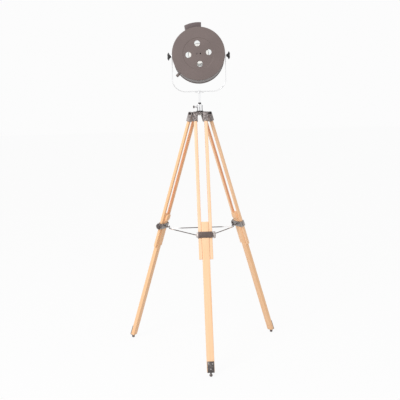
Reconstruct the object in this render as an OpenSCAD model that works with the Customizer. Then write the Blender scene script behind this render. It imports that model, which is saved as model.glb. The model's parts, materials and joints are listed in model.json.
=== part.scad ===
// Tripod spotlight floor lamp.
// Frame: +Z up, +Y the way the beam points, origin on the floor at the centre of the feet's box.
// Each leg has its own frame: x out of the leg's face, y sideways, z up along the leg, from its pivot.

/* [Legs] */
// Angle of each leg from vertical
leg_lean = 18.4; // [14:0.1:22]
// Distance of each leg's pivot from the post's axis
pivot_r = 35.6; // [33:0.1:44]
// Width of each of the two upper slats of a leg
slat_w = 15; // [12:0.5:18]
// Depth of the upper slats
slat_d = 12.5; // [10:0.5:15]
// Length of the upper slats
upper_slat_len = 690; // [600:1:760]
// Distance from the leg's pivot to the top of the upper slats
slat_start = 11; // [10:1:16]
// Width of the lower slat, which slides between the upper ones
lower_slat_w = 34; // [30:1:40]
// Depth of the lower slat
lower_slat_d = 18; // [16:0.5:22]
// Length of the lower slat
lower_slat_len = 681; // [600:1:700]
// How far the lower slat can still be drawn out before its stop block meets the collar
stop_travel = 11; // [10.5:0.5:60]
// Play between the lower slat and each piece that it slides past
slide_gap = 0.3; // [0.2:0.05:0.5]
// Chamfer along the edges of the slats
slat_edge = 1.5; // [0.5:0.5:2.5]
// Height of the stop block at the top of the lower slat
stop_h = 36; // [24:1:40]
// Thickness of the stop block
stop_t = 9; // [6:0.5:10]

/* [Leg caps and hub] */
// Wall of the metal cap around the top of each upper slat
cap_wall = 3.5; // [2.5:0.5:4]
// Length of the cap below the leg's pivot
cap_len = 40; // [36:1:60]
// Height of the cap's flat top above the leg's pivot
cap_top = 6; // [5.5:0.5:9]
// Diameter of the leg pivot bolts
pivot_bolt_d = 6; // [5:0.5:8]
// Width across the flats of the pivot bolts and nuts
pivot_hex = 10; // [9:0.5:13]
// Thickness of the pivot bolts' heads and nuts
pivot_hex_t = 4.5; // [3:0.5:6]
// Diameter of the cap screws' shanks
cap_screw_d = 3.5; // [3:0.5:4.5]
// Thickness of the hub plate
hub_t = 11; // [9:1:12]
// Half the height of the hub's tongues, which take the pivot bolts
tongue_r = 6; // [5.5:0.5:6.5]
// Radius of the hub's round middle
hub_r = 23; // [20:1:24]

/* [Collars and stay rods] */
// Distance from the lower end of the upper slats up to the collar's middle
collar_up = 113; // [90:1:140]
// Height of the collar band
collar_h = 28; // [24:1:32]
// Thickness of the collar band
collar_wall = 2.5; // [2:0.5:3.5]
// Diameter of the collar knob
knob_d = 32; // [26:1:36]
// Thickness of the collar knob
knob_t = 10; // [8:1:14]
// Diameter of the collar knob's screw
knob_screw_d = 8; // [6:0.5:9]
// Reach of the eye ring's centre from the leg's middle
eye_reach = 31; // [29:0.5:34]
// Height of the eye ring above the collar's middle, along the leg
eye_up = 2.5; // [-4:0.5:4]
// Radius of the eye ring, to the middle of its wire
eye_r = 9; // [9:0.1:10]
// Diameter of the eye ring's wire
eye_wire_d = 3.6; // [3:0.1:3.8]
// Diameter of the stay rods
rod_d = 4.4; // [3.8:0.1:5]
// Diameter of the hooks at the rods' ends
hook_d = 3.5; // [3:0.1:3.6]
// Distance of the rods below the eye rings
rod_drop = 8; // [7.5:0.5:10]
// Height of the open hook's tip above the eye ring
hook_up = 5; // [4:0.5:6]

/* [Feet] */
// Height of the metal shoe on the leg's outer face
shoe_h = 50; // [40:1:60]
// Thickness of the shoe
shoe_t = 3; // [2:0.5:4]
// Diameter of the ball foot
ball_d = 15; // [13:0.5:18]
// Diameter of the ball foot's neck
ball_neck_d = 7; // [5:0.5:8]
// Length of the neck between shoe and ball
ball_neck_len = 2.5; // [2:0.5:8]
// Diameter of the flat on which the ball foot stands
ball_flat_d = 9; // [6:0.5:10]

/* [Post and yoke] */
// Outer diameter of the post socket
post_d = 26; // [24:0.5:30]
// Height of the post socket
post_h = 32; // [28:1:45]
// Diameter of the black ring under the post
post_ring_d = 34; // [31:0.5:36]
// Thickness of the black ring
post_ring_t = 5; // [4:0.5:8]
// Diameter of the yoke's stem
stem_d = 12; // [11:0.5:16]
// Radial clearance of everything that turns on a pin
run_gap = 0.05; // [0.02:0.01:0.08]
// Height of the tilt pivots above the leg pivots
tilt_h = 271.7; // [266:0.1:300]
// Gap between the drum's rims and the yoke's arms
yoke_gap = 2.2; // [1.5:0.1:5]
// Thickness of the yoke strap
yoke_t = 4.5; // [3.5:0.5:6]
// Width of the yoke strap
yoke_w = 30; // [26:1:40]
// Distance from the tilt pivots down to the inside of the yoke's bottom
yoke_drop = 166; // [164:1:172]
// Inner radius of the yoke's corners
yoke_corner = 60; // [40:1:64]
// Diameter of the clamp screw's knob at the post
clamp_knob_d = 13; // [12:0.5:20]
// Diameter of the clamp screw
clamp_screw_d = 6; // [5:0.5:7]
// Distance of the clamp screw below the top of the post socket
clamp_down = 13; // [11:0.5:16]
// Distance of the clamp knob's middle from the post's axis
clamp_reach = 29; // [25:0.5:34]

/* [Lamp head] */
// How far the head and yoke are turned to the right of straight ahead
head_turn = 3.5; // [-30:0.5:30]
// How far the lamp head is nosed down
nose_down = 3.5; // [0:0.5:10]
// Outer radius of the lamp head's rims
rim_r = 124; // [121:0.5:125]
// Depth of the lamp head, from the back cover to the bezel's face
head_depth = 185; // [180:1:190]
// Thickness of the drum's sheet
drum_wall = 2; // [1.5:0.5:3]
// Thickness of the rims' lips around the drum
rim_lip = 2.5; // [2:0.5:3]
// Depth of the rims' lips along the drum
rim_depth = 12; // [8:1:16]
// Thickness of the back cover
back_t = 3; // [2.5:0.5:4]
// Radius of the shallow round panel in the back cover
back_panel_r = 73; // [66:1:90]
// Diameter of each vent hole in the back cover
vent_d = 27; // [20:0.5:30]
// Radius of the circle on which the vent holes lie
vent_circle_r = 47.5; // [42:0.5:50]
// Turn of the vent holes, seen from behind
vent_turn = 6.5; // [0:0.5:45]
// Thickness of the front glass
glass_t = 5; // [4:0.5:6]
// Width of the rubber around the edge of the glass
gasket_w = 7.5; // [7:0.5:12]
// How far the bezel reaches in over the edge of the glass
glass_seat = 6; // [5:0.5:12]
// Thickness of the bezel in front of the glass
bezel_t = 6.5; // [5:0.5:8]
// Thickness of the drum's inner flange, on which the gasket and glass sit
flange_t = 3; // [2:0.5:4]
// Radius of the heat shield around the bulb
shield_r = 47.5; // [40:0.5:50]
// Length of the heat shield
shield_len = 100; // [80:1:110]
// Thickness of the heat shield's sheet
shield_wall = 1.5; // [1:0.1:2]
// Distance from the drum's back face to the mouth of the lampholder
holder_depth = 47; // [44:1:60]
// Radius of the bulb
bulb_r = 30; // [28:0.5:35]
// Distance from the bulb's cap to the middle of its ball
bulb_reach = 62; // [55:1:70]
// Diameter of the pivot studs on the drum
stud_d = 8; // [6:0.5:10]
// Span of the wing knobs
wing_span = 38; // [30:1:44]
// Length of the wing knobs
wing_len = 19; // [16:1:24]

/* [Cowl and gland] */
// Height of the vent cowl's top above the drum's rims
cowl_rise = 24; // [16:1:28]
// Angle of the cowl's middle, counted from the right, seen from behind
cowl_angle = 100; // [80:1:110]
// Half the angle that the cowl spans
cowl_half = 15.8; // [10:0.1:18]
// Length of the cowl along the drum
cowl_len = 116; // [90:1:130]
// Wall of the cowl
cowl_wall = 2; // [1.5:0.5:3]
// Angle of the cable gland, counted from the right, seen from behind
gland_angle = 224; // [215:1:235]
// Diameter of the cord hole through the gland
gland_bore_d = 7.5; // [6:0.1:8]
// Diameter of the gland's neck
gland_neck_d = 11; // [10.5:0.5:14]
// How far the gland's end stands out past the drum's rims
gland_reach = 22; // [18:1:26]

/* [Hidden] */
$fn = 48;

// Colours
gunmetal = [0.33, 0.31, 0.30];
black_metal = [0.10, 0.09, 0.09];
chrome = [0.80, 0.80, 0.82];
wood = [0.90, 0.72, 0.50];
taupe = [0.51, 0.46, 0.44];

// Azimuths of the legs
rear_az = -90;
right_az = 30;
left_az = 150;
LEG_AZ = [rear_az, right_az, left_az];

// Along the leg, measured down from its pivot
slat_end = slat_start + upper_slat_len;
collar_s = slat_end - collar_up;
eye_s = collar_s - eye_up;
lower_slat_top = collar_s - collar_h / 2 - stop_travel - stop_h;
lower_end = lower_slat_top + lower_slat_len;
ball_s = lower_end + shoe_t + ball_neck_len + ball_d / 2;

// Across the leg
slat_in = lower_slat_w / 2 + slide_gap;
slat_out = slat_in + slat_w;
cap_in = slat_in - cap_wall;
cap_out = slat_out + cap_wall;
cap_half_d = slat_d / 2 + cap_wall;
band_in_d = lower_slat_d / 2 + slide_gap;
band_out_d = band_in_d + collar_wall;
band_out_w = slat_out + collar_wall;
boss_out_w = band_out_w + 2;

// Heights and places of the stand
ball_h = sqrt(pow(ball_d / 2, 2) - pow(ball_flat_d / 2, 2));
pivot_z = ball_s * cos(leg_lean) + ball_h;
foot_r = pivot_r + ball_s * sin(leg_lean);
stand_y = foot_r / 4;
hub_top = pivot_z + tongue_r + 1;
hub_bottom = hub_top - hub_t;
post_z = hub_top + post_ring_t;
post_top = post_z + post_h;
post_floor = 6;
tilt_z = pivot_z + tilt_h;
stem_bottom = post_z + post_floor + 0.3;
yoke_bottom = tilt_z - yoke_drop - yoke_t;
stem_flange_r = 19;
stem_flange_t = 5;
stem_collar_h = 7;
clamp_z = post_top - clamp_down;
clamp_knob_t = 6.5;

// The triangle of stay rods
eye_ring_r = pivot_r + eye_s * sin(leg_lean) - eye_reach * cos(leg_lean);
rod_side = eye_ring_r * sqrt(3);
hook_play = 0.45;
hook_seat = eye_r - eye_wire_d / 2 - hook_d / 2 - hook_play;
rod_len = rod_side - eye_r - hook_seat;
loop_r = eye_wire_d / 2 + hook_d / 2 + 0.6;

// Lamp head, along its axis from the tilt pivots
back_y = -head_depth / 2 - 2.5;
front_y = back_y + head_depth;
back_in = back_y + back_t;
glass_front = front_y - bezel_t;
glass_back = glass_front - glass_t;
gasket_t = 3;
flange_y = glass_back - gasket_t;
drum_r = rim_r - rim_lip;
drum_in = drum_r - drum_wall;
glass_r = drum_in - gasket_w;
bezel_open_r = glass_r - glass_seat;
yoke_in = rim_r + yoke_gap;
yoke_out = yoke_in + yoke_t;
bezel_screw_r = (glass_r + drum_in) / 2;
bezel_screw_d = 3;
holder_y = back_y + holder_depth;
holder_screw_x = 8.5;
cap_r = 13;
stud_end = yoke_out + 14;
gland_y = back_y + 24;
gland_head_r = rim_r + 8;
gland_end_r = rim_r + gland_reach;
cowl_r = rim_r + cowl_rise;
wing_gap = 0.3;

// ---- Shared shapes ----

module stand() {
    translate([0, stand_y, 0]) children();
}

module leg_frame(az) {
    stand() rotate([0, 0, az]) translate([pivot_r, 0, pivot_z]) rotate([0, -leg_lean, 0]) children();
}

// Local x out of the leg, y sideways, z upright, at the middle of the eye ring
module eye_frame(az) {
    leg_frame(az) translate([-eye_reach, 0, -eye_s]) rotate([0, leg_lean, 0]) children();
}

// Turns with the yoke, with z = 0 at the tilt pivots
module yoke_frame() {
    translate([0, stand_y, tilt_z]) rotate([0, 0, -head_turn]) children();
}

module head_frame() {
    yoke_frame() rotate([-nose_down, 0, 0]) children();
}

module along_x(from, to) {
    translate([from, 0, 0]) rotate([0, 90, 0]) linear_extrude(to - from) children();
}

module along_y(from, to) {
    translate([0, from, 0]) rotate([-90, 0, 0]) linear_extrude(to - from) children();
}

// A rod along the drum's radius at an angle in the head's frame
module radial(angle, from, to) {
    rotate([0, -angle, 0]) along_x(from, to) children();
}

// Turned shape around the lamp head's axis: x is the radius, y the place along the axis
module turned() {
    rotate([-90, 0, 0]) rotate_extrude($fn = 96) children();
}

module ring_2d(outer, inner) {
    difference() {
        circle(outer);
        circle(inner);
    }
}

// Bar of width w along y and depth d along x, hanging down from z = 0
module slat_bar(w, d, len) {
    e = slat_edge;
    translate([0, 0, -len]) linear_extrude(len) polygon([
        [-d / 2 + e, -w / 2], [d / 2 - e, -w / 2], [d / 2, -w / 2 + e], [d / 2, w / 2 - e],
        [d / 2 - e, w / 2], [-d / 2 + e, w / 2], [-d / 2, w / 2 - e], [-d / 2, -w / 2 + e]
    ]);
}

module rounded_box_2d(half_x, half_y, r) {
    square([2 * (half_x - r), 2 * half_y], center = true);
    square([2 * half_x, 2 * (half_y - r)], center = true);
    for (sx = [-1, 1]) for (sy = [-1, 1]) translate([sx * (half_x - r), sy * (half_y - r)]) circle(r);
}

// ---- Hub and post ----

// Side view of a tongue, from inside the hub's disc to round the pivot bolt
module tongue_2d() {
    difference() {
        union() {
            circle(tongue_r);
            translate([-pivot_r + hub_r / 2, -tongue_r]) square([pivot_r - hub_r / 2, 2 * tongue_r]);
        }
        circle(pivot_bolt_d / 2);
    }
}

module hub() {
    color(gunmetal) stand() difference() {
        union() {
            translate([0, 0, hub_bottom]) rotate([0, 0, right_az]) cylinder(r = hub_r, h = hub_t);
            for (az = LEG_AZ) rotate([0, 0, az]) translate([pivot_r, 0, pivot_z])
                along_y(-cap_in + slide_gap, cap_in - slide_gap) tongue_2d();
        }
        translate([0, 0, hub_bottom - 1]) cylinder(r = hub_bolt_r, h = hub_t + 2);
    }
}
hub_bolt_r = 4;
hub_bolt_up = 5;

module hub_nut() {
    color(chrome) stand() translate([0, 0, hub_bottom]) {
        translate([0, 0, -1.5]) cylinder(r = 9, h = 1.5);
        translate([0, 0, -1.5 - 5]) cylinder(r = 7.5, h = 5, $fn = 6);
        cylinder(r = hub_bolt_r, h = hub_t + post_ring_t + hub_bolt_up);
    }
}

module leg_pivot_bolts() {
    color(black_metal) for (az = LEG_AZ) stand() rotate([0, 0, az]) translate([pivot_r, 0, pivot_z]) {
        along_y(-cap_out - slide_gap - pivot_hex_t - 1, cap_out + slide_gap) circle(pivot_bolt_d / 2);
        along_y(cap_out + slide_gap, cap_out + slide_gap + pivot_hex_t)
            circle(pivot_hex / 2 / cos(30), $fn = 6);
    }
}

module leg_pivot_nuts() {
    color(black_metal) for (az = LEG_AZ) stand() rotate([0, 0, az]) translate([pivot_r, 0, pivot_z])
        difference() {
            along_y(-cap_out - slide_gap - pivot_hex_t, -cap_out - slide_gap)
                circle(pivot_hex / 2 / cos(30), $fn = 6);
            along_y(-cap_out - 2 * pivot_hex_t, -cap_out) circle(pivot_bolt_d / 2);
        }
}

module post_ring() {
    color(black_metal) stand() translate([0, 0, hub_top]) difference() {
        cylinder(r = post_ring_d / 2, h = post_ring_t);
        translate([0, 0, -1]) cylinder(r = hub_bolt_r, h = post_ring_t + 2);
    }
}

module post_socket() {
    shoulder = 3;
    color(chrome) stand() difference() {
        translate([0, 0, post_z]) rotate_extrude() polygon([
            [0, 0], [post_d / 2, 0], [post_d / 2, post_h - shoulder],
            [post_d / 2 - shoulder, post_h], [0, post_h]
        ]);
        translate([0, 0, post_z + post_floor]) cylinder(r = stem_d / 2 + run_gap, h = post_h);
        translate([0, 0, post_z - 1]) cylinder(r = hub_bolt_r, h = hub_bolt_up + 1);
        translate([0, 0, clamp_z]) along_x(-post_d, 0) circle(clamp_screw_d / 2 + run_gap);
    }
}

clamp_boss_end = post_d / 2 + 4;
module clamp_boss() {
    color(chrome) stand() difference() {
        translate([0, 0, clamp_z]) along_x(-clamp_boss_end, -post_d / 2 + 3) circle(clamp_screw_d / 2 + 2);
        translate([0, 0, clamp_z]) along_x(-clamp_boss_end - 1, 0) circle(clamp_screw_d / 2 + run_gap);
        cylinder(r = post_d / 2, h = post_top);
    }
}

module clamp_screw() {
    grips = 16;
    color(black_metal) stand() translate([0, 0, clamp_z]) {
        along_x(-clamp_reach, -stem_d / 2 - slide_gap) circle(clamp_screw_d / 2);
        along_x(-clamp_reach - clamp_knob_t / 2, -clamp_reach + clamp_knob_t / 2) difference() {
            circle(clamp_knob_d / 2);
            for (i = [0:grips - 1]) rotate(i * 360 / grips) translate([clamp_knob_d / 2 + 0.4, 0]) circle(1);
        }
    }
}

// ---- Yoke ----

module yoke_stem() {
    color(chrome) stand() difference() {
        union() {
            translate([0, 0, stem_bottom]) cylinder(r = stem_d / 2, h = yoke_bottom - stem_bottom);
            translate([0, 0, post_top + slide_gap])
                cylinder(r1 = stem_d / 2 + 1.6, r2 = stem_d / 2 + 0.3, h = stem_collar_h);
            translate([0, 0, yoke_bottom - stem_flange_t]) cylinder(r = stem_flange_r, h = stem_flange_t);
        }
        translate([0, 0, yoke_bottom - stem_screw_len]) cylinder(r = stem_screw_r, h = stem_screw_len + 1);
    }
}
stem_screw_r = 3;
stem_screw_len = 22;

module stem_screw() {
    color(chrome) stand() translate([0, 0, yoke_bottom]) {
        translate([0, 0, -stem_screw_len]) cylinder(r = stem_screw_r, h = stem_screw_len + yoke_t);
        translate([0, 0, yoke_t]) cylinder(r = 7.5, h = 4, $fn = 6);
    }
}

module yoke() {
    straight = yoke_drop - yoke_corner;
    color(chrome) yoke_frame() difference() {
        union() {
            for (side = [-1, 1]) {
                translate([side * (yoke_in + yoke_t / 2) - yoke_t / 2, -yoke_w / 2, -straight])
                    cube([yoke_t, yoke_w, straight]);
                translate([side * (yoke_in + yoke_t / 2), 0, 0])
                    along_x(-yoke_t / 2, yoke_t / 2) circle(yoke_w / 2);
                mirror([side < 0 ? 1 : 0, 0, 0])
                    translate([yoke_in - yoke_corner, yoke_w / 2, -straight]) rotate([90, 0, 0])
                        rotate([0, 0, -90]) rotate_extrude(angle = 90)
                            translate([yoke_corner, 0]) square([yoke_t, yoke_w]);
            }
            translate([-yoke_in + yoke_corner, -yoke_w / 2, -yoke_drop - yoke_t])
                cube([2 * (yoke_in - yoke_corner), yoke_w, yoke_t]);
        }
        along_x(-yoke_out - 1, yoke_out + 1) circle(stud_d / 2 + run_gap);
        translate([0, 0, -yoke_drop - yoke_t - 1]) cylinder(r = stem_screw_r, h = yoke_t + 2);
    }
}

// ---- Lamp head ----

module drum() {
    slots = 5;
    slot_margin = 18;
    color(taupe) head_frame() difference() {
        union() {
            along_y(back_in, glass_front) ring_2d(drum_r, drum_in, $fn = 96);
            along_y(flange_y - flange_t, flange_y) ring_2d(drum_in + 1, bezel_open_r, $fn = 96);
        }
        for_bezel_screws() along_y(flange_y - flange_t - 1, flange_y + 1) circle(bezel_screw_d / 2);
        along_x(-rim_r, rim_r) circle(stud_d / 2);
        translate([0, gland_y, 0]) radial(gland_angle, drum_in - 5, rim_r) circle(gland_neck_d / 2);
        for (i = [0:slots - 1]) rotate([0, -cowl_angle - (i - (slots - 1) / 2) * cowl_half / 3, 0])
            translate([drum_in - 5, cowl_y + slot_margin, -2]) cube([20, cowl_len - 2 * slot_margin, 4]);
    }
}

// Disc with a rounded edge and a lip that reaches along the drum: x is the radius
module rim_profile(thick) {
    round_r = rim_lip;
    difference() {
        union() {
            square([rim_r - round_r, thick]);
            translate([rim_r - round_r, round_r]) circle(round_r);
            translate([rim_r - round_r, round_r]) square([round_r, thick + rim_depth - round_r]);
        }
        translate([drum_r - 3 * round_r, thick]) square([3 * round_r, thick + rim_depth]);
    }
}

module back_cover() {
    panel_step = 1.2;
    color(taupe) head_frame() difference() {
        translate([0, back_y, 0]) turned() rim_profile(back_t);
        along_y(back_y - 1, back_y + panel_step) circle(back_panel_r);
        for (i = [0:3]) rotate([0, -vent_turn - i * 90, 0]) translate([vent_circle_r, 0, 0])
            along_y(back_y - 1, back_in + 1) circle(vent_d / 2);
        for (side = [-1, 1]) translate([side * holder_screw_x, 0, 0])
            along_y(back_y - 1, back_in + 1) circle(holder_screw_r);
    }
}
holder_screw_r = 2;

module holder_screws() {
    color(black_metal) head_frame() for (side = [-1, 1]) translate([side * holder_screw_x, 0, 0]) {
        along_y(back_y + 1.2, back_in + 10) circle(holder_screw_r);
        along_y(back_y - 1, back_y + 1.2) circle(3.6);
    }
}

cowl_y = back_y + 22;
module cowl_sector(r_from, r_to, half, from, to) {
    rotate([90, 0, 0]) rotate([0, 0, cowl_angle - half]) translate([0, 0, -to])
        rotate_extrude(angle = 2 * half, $fn = 96) translate([r_from, 0]) square([r_to - r_from, to - from]);
}

module vent_cowl() {
    louvres = 3;
    pitch = cowl_rise / 4;
    wall_angle = cowl_wall / drum_r * 180 / PI;
    color(taupe * 0.92) head_frame() difference() {
        cowl_sector(drum_r, cowl_r, cowl_half, cowl_y, cowl_y + cowl_len);
        cowl_sector(drum_r - 1, cowl_r - cowl_wall, cowl_half - wall_angle,
                    cowl_y + cowl_wall, cowl_y + cowl_len - cowl_wall);
        for (i = [0:louvres - 1])
            cowl_sector(drum_r + 5 + i * pitch, drum_r + 5 + (i + 0.5) * pitch, cowl_half - 4,
                        cowl_y + cowl_len / 2, cowl_y + cowl_len + 1);
    }
}

module bezel() {
    color(taupe) head_frame() difference() {
        translate([0, front_y, 0]) mirror([0, 1, 0]) turned() rim_profile(bezel_t);
        along_y(glass_front - 1, front_y + 1) circle(bezel_open_r, $fn = 96);
        for_bezel_screws() along_y(glass_front - 1, front_y + 1) circle(bezel_screw_d / 2);
    }
}

module for_bezel_screws() {
    for (i = [0:3]) rotate([0, 45 + i * 90, 0]) translate([bezel_screw_r, 0, 0]) children();
}

module bezel_screws() {
    color(chrome) head_frame() for_bezel_screws() {
        along_y(flange_y - flange_t - 2, front_y) circle(bezel_screw_d / 2);
        along_y(front_y, front_y + 2) circle(bezel_screw_d);
    }
}

module front_glass() {
    color([0.85, 0.92, 0.95, 0.4]) head_frame() along_y(glass_back, glass_front) circle(glass_r, $fn = 96);
}

module glass_gasket() {
    color(black_metal) head_frame() difference() {
        union() {
            along_y(flange_y, glass_back) ring_2d(drum_in, bezel_open_r, $fn = 96);
            along_y(glass_back, glass_front) ring_2d(drum_in, glass_r, $fn = 96);
        }
        for_bezel_screws() along_y(flange_y - 1, glass_front + 1) circle(bezel_screw_d / 2);
    }
}

module heat_shield() {
    color([0.93, 0.92, 0.89]) head_frame() difference() {
        along_y(back_in, back_in + shield_len) circle(shield_r, $fn = 96);
        along_y(back_in + shield_wall, back_in + shield_len + 1) circle(shield_r - shield_wall, $fn = 96);
        for (i = [0:3]) rotate([0, -vent_turn - i * 90, 0]) translate([vent_circle_r, 0, 0])
            along_y(back_in - 1, back_in + shield_wall) circle(vent_d / 2);
        along_y(back_in - 1, back_in + shield_wall + 1) circle(holder_body_r);
    }
}

holder_body_r = 17;
module lamp_holder() {
    mouth = holder_y;
    color([0.92, 0.91, 0.88]) head_frame() difference() {
        union() {
            along_y(back_in, mouth - 6) circle(holder_body_r);
            along_y(mouth - 26, mouth) circle(20);
        }
        along_y(mouth - 24, mouth + 1) circle(cap_r + 0.3);
        for (side = [-1, 1]) translate([side * holder_screw_x, 0, 0])
            along_y(back_in - 1, back_in + 10) circle(holder_screw_r);
    }
}

module bulb_cap() {
    color(chrome) head_frame() {
        along_y(holder_y - 22, holder_y + 2) circle(cap_r);
        along_y(holder_y - 24, holder_y - 22) circle(5);
    }
}

module bulb() {
    neck = holder_y + 2;
    color([1, 0.98, 0.9, 0.6]) head_frame() translate([0, neck, 0]) {
        translate([0, bulb_reach, 0]) sphere(bulb_r, $fn = 64);
        turned() polygon([
            [0, 0], [cap_r, 0], [cap_r + 0.5, 0.13 * bulb_reach], [cap_r + 1.5, 0.26 * bulb_reach],
            [cap_r + 4.2, 0.43 * bulb_reach], [bulb_r * 0.72, 0.61 * bulb_reach],
            [bulb_r * 0.85, bulb_reach - bulb_r * 0.5], [0, bulb_reach]
        ]);
    }
}

module cable_gland() {
    color(black_metal) head_frame() translate([0, gland_y, 0]) difference() {
        union() {
            radial(gland_angle, drum_in - 9, gland_head_r) circle(gland_neck_d / 2);
            radial(gland_angle, drum_in - 5, drum_in - 0.6) circle(gland_neck_d / 2 + 3.5, $fn = 6);
            radial(gland_angle, gland_head_r, gland_end_r - 5) circle(gland_neck_d / 2 + 2.6, $fn = 6);
            radial(gland_angle, gland_end_r - 5, gland_end_r) circle(gland_neck_d / 2 + 1);
        }
        radial(gland_angle, drum_in - 20, gland_end_r + 5) circle(gland_bore_d / 2);
    }
}

module pivot_studs() {
    color(chrome) head_frame() for (side = [0, 180]) rotate([0, side, 0]) {
        along_x(drum_in - 8, stud_end) circle(stud_d / 2);
        along_x(drum_in - 8, drum_in - 1.2) circle(stud_d / 2 + 4, $fn = 6);
        along_x(drum_r, yoke_in - slide_gap) circle(stud_d / 2 + 6);
    }
}

module wing_knob(side) {
    hub_rad = 6.5;
    tip = 3.5;
    thick = 6;
    from = yoke_out + wing_gap;
    half = wing_span / 2;
    color(black_metal) head_frame() rotate([0, side > 0 ? 0 : 180, 0]) difference() {
        union() {
            along_x(from, from + wing_len) circle(hub_rad);
            translate([0, thick / 2, 0]) rotate([90, 0, 0]) linear_extrude(thick) {
                for (up = [-1, 1]) polygon([
                    [from + 3, 0], [from + 3, up * hub_rad], [from + wing_len * 0.42, up * half * 0.5],
                    [from + wing_len * 0.55, up * (half - tip)], [from + wing_len * 0.75, up * (half - 1)],
                    [from + wing_len - 2, up * half * 0.72], [from + wing_len, up * half * 0.42],
                    [from + wing_len, 0]
                ]);
                for (up = [-1, 1]) translate([from + wing_len * 0.65, up * (half - tip)]) circle(tip);
            }
        }
        along_x(from - 1, stud_end + 0.5) circle(stud_d / 2 + run_gap);
    }
}

// ---- Legs ----

module leg_caps(az) {
    color(gunmetal) leg_frame(az) for (side = [0, 1]) mirror([0, side, 0]) difference() {
        union() {
            along_y(cap_in, cap_out) circle(cap_half_d);
            translate([-cap_half_d, cap_in, -cap_len]) cube([2 * cap_half_d, cap_out - cap_in, cap_len]);
        }
        translate([-2 * cap_half_d, 0, cap_top]) cube([4 * cap_half_d, 2 * cap_out, cap_half_d]);
        translate([0, slat_in + slat_w / 2, -slat_start]) slat_bar(slat_w, slat_d, cap_len);
        along_y(0, cap_out + 1) circle(pivot_bolt_d / 2 + run_gap);
        for_cap_screws() circle(cap_screw_d / 2);
    }
}

cap_screw_depth = 8;
module for_cap_screws() {
    for (down = [slat_start + 7, cap_len - 7]) translate([0, slat_in + slat_w / 2, -down])
        along_x(cap_half_d - cap_screw_depth, cap_half_d) children();
}

module cap_screws(az) {
    color(black_metal) leg_frame(az) for (side = [0, 1]) mirror([0, side, 0]) {
        for_cap_screws() circle(cap_screw_d / 2);
        translate([cap_screw_depth, 0, 0]) for_cap_screws_heads();
    }
}

module for_cap_screws_heads() {
    for (down = [slat_start + 7, cap_len - 7]) translate([0, slat_in + slat_w / 2, -down])
        along_x(cap_half_d - cap_screw_depth, cap_half_d - cap_screw_depth + 1.8) circle(cap_screw_d);
}

module upper_slats(az) {
    color(wood) leg_frame(az) for (side = [0, 1]) mirror([0, side, 0]) difference() {
        translate([0, slat_in + slat_w / 2, -slat_start]) slat_bar(slat_w, slat_d, upper_slat_len);
        for_cap_screws() circle(cap_screw_d / 2);
    }
}

module collar(az) {
    color(gunmetal) leg_frame(az) translate([0, 0, -collar_s]) difference() {
        union() {
            translate([0, 0, -collar_h / 2]) linear_extrude(collar_h)
                rounded_box_2d(band_out_d, band_out_w, 3);
            along_y(slat_out + 1, boss_out_w) circle(knob_screw_d / 2 + 5);
            translate([0, -band_out_w - 6, 0]) along_x(-3.5, 3.5) circle(4);
            translate([-3.5, -band_out_w - 6, -collar_h / 2 + 3]) cube([7, 8, collar_h - 6]);
        }
        translate([0, 0, -collar_h]) linear_extrude(2 * collar_h)
            square([2 * band_in_d, 2 * slat_out], center = true);
        along_y(slat_out - 1, boss_out_w + 1) circle(knob_screw_d / 2 + run_gap);
    }
}

module collar_knob(az) {
    flutes = 12;
    color(black_metal) leg_frame(az) translate([0, 0, -collar_s]) {
        along_y(slat_out + slide_gap, boss_out_w + slide_gap + knob_t / 2) circle(knob_screw_d / 2);
        along_y(boss_out_w + slide_gap, boss_out_w + slide_gap + knob_t) difference() {
            circle(knob_d / 2);
            for (i = [0:flutes - 1]) rotate(i * 360 / flutes) translate([knob_d / 2 + 1, 0]) circle(2.2);
        }
        along_y(boss_out_w + slide_gap + knob_t, boss_out_w + slide_gap + knob_t + 1.5) circle(knob_d / 4);
    }
}

module collar_eye(az) {
    color(gunmetal) {
        leg_frame(az) translate([0, 0, -eye_s - 1.5]) {
            along_x(-band_out_d - 2, -band_out_d) circle(5.5);
            along_x(-eye_reach + eye_r - 0.5, -band_out_d) circle(2.5);
        }
        eye_frame(az) rotate_extrude() translate([eye_r, 0]) circle(eye_wire_d / 2);
    }
}

module stay_rod(az) {
    hook_r = hook_d / 2;
    color(chrome) eye_frame(az) rotate([0, 0, 150]) translate([eye_r, 0, 0]) {
        rotate([90, 0, 0]) rotate_extrude() translate([loop_r, 0]) circle(hook_r);
        translate([0, 0, -rod_drop]) cylinder(r = hook_r, h = rod_drop - loop_r);
        translate([0, 0, -rod_drop]) sphere(rod_d / 2);
        translate([0, 0, -rod_drop]) along_x(0, rod_len) circle(rod_d / 2);
        translate([rod_len, 0, -rod_drop]) sphere(rod_d / 2);
        translate([rod_len, 0, -rod_drop]) cylinder(r = hook_r, h = rod_drop + hook_up);
        translate([rod_len, 0, hook_up]) sphere(hook_r);
    }
}

module lower_slat(az) {
    color(wood) leg_frame(az) difference() {
        translate([0, 0, -lower_slat_top]) slat_bar(lower_slat_w, lower_slat_d, lower_slat_len);
        translate([0, 0, -lower_end - 1]) cylinder(r = ball_stud_r, h = ball_stud_len + 1);
    }
}
ball_stud_r = 3;
ball_stud_len = 25;

module stop_block(az) {
    color(wood) leg_frame(az) translate([-lower_slat_d / 2 - stop_t, -lower_slat_w / 2 + slat_edge,
                                         -lower_slat_top - stop_h])
        cube([stop_t, lower_slat_w - 2 * slat_edge, stop_h]);
}

module shoe(az) {
    edge = 1.5;
    color(gunmetal) leg_frame(az) difference() {
        union() {
            translate([lower_slat_d / 2, -lower_slat_w / 2 + edge, -lower_end - shoe_t])
                cube([shoe_t, lower_slat_w - 2 * edge, shoe_h]);
            translate([-lower_slat_d / 2 + edge, -lower_slat_w / 2 + edge, -lower_end - shoe_t])
                cube([lower_slat_d, lower_slat_w - 2 * edge, shoe_t]);
        }
        translate([0, 0, -lower_end - 2 * shoe_t]) cylinder(r = ball_stud_r, h = 3 * shoe_t);
    }
}

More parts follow.
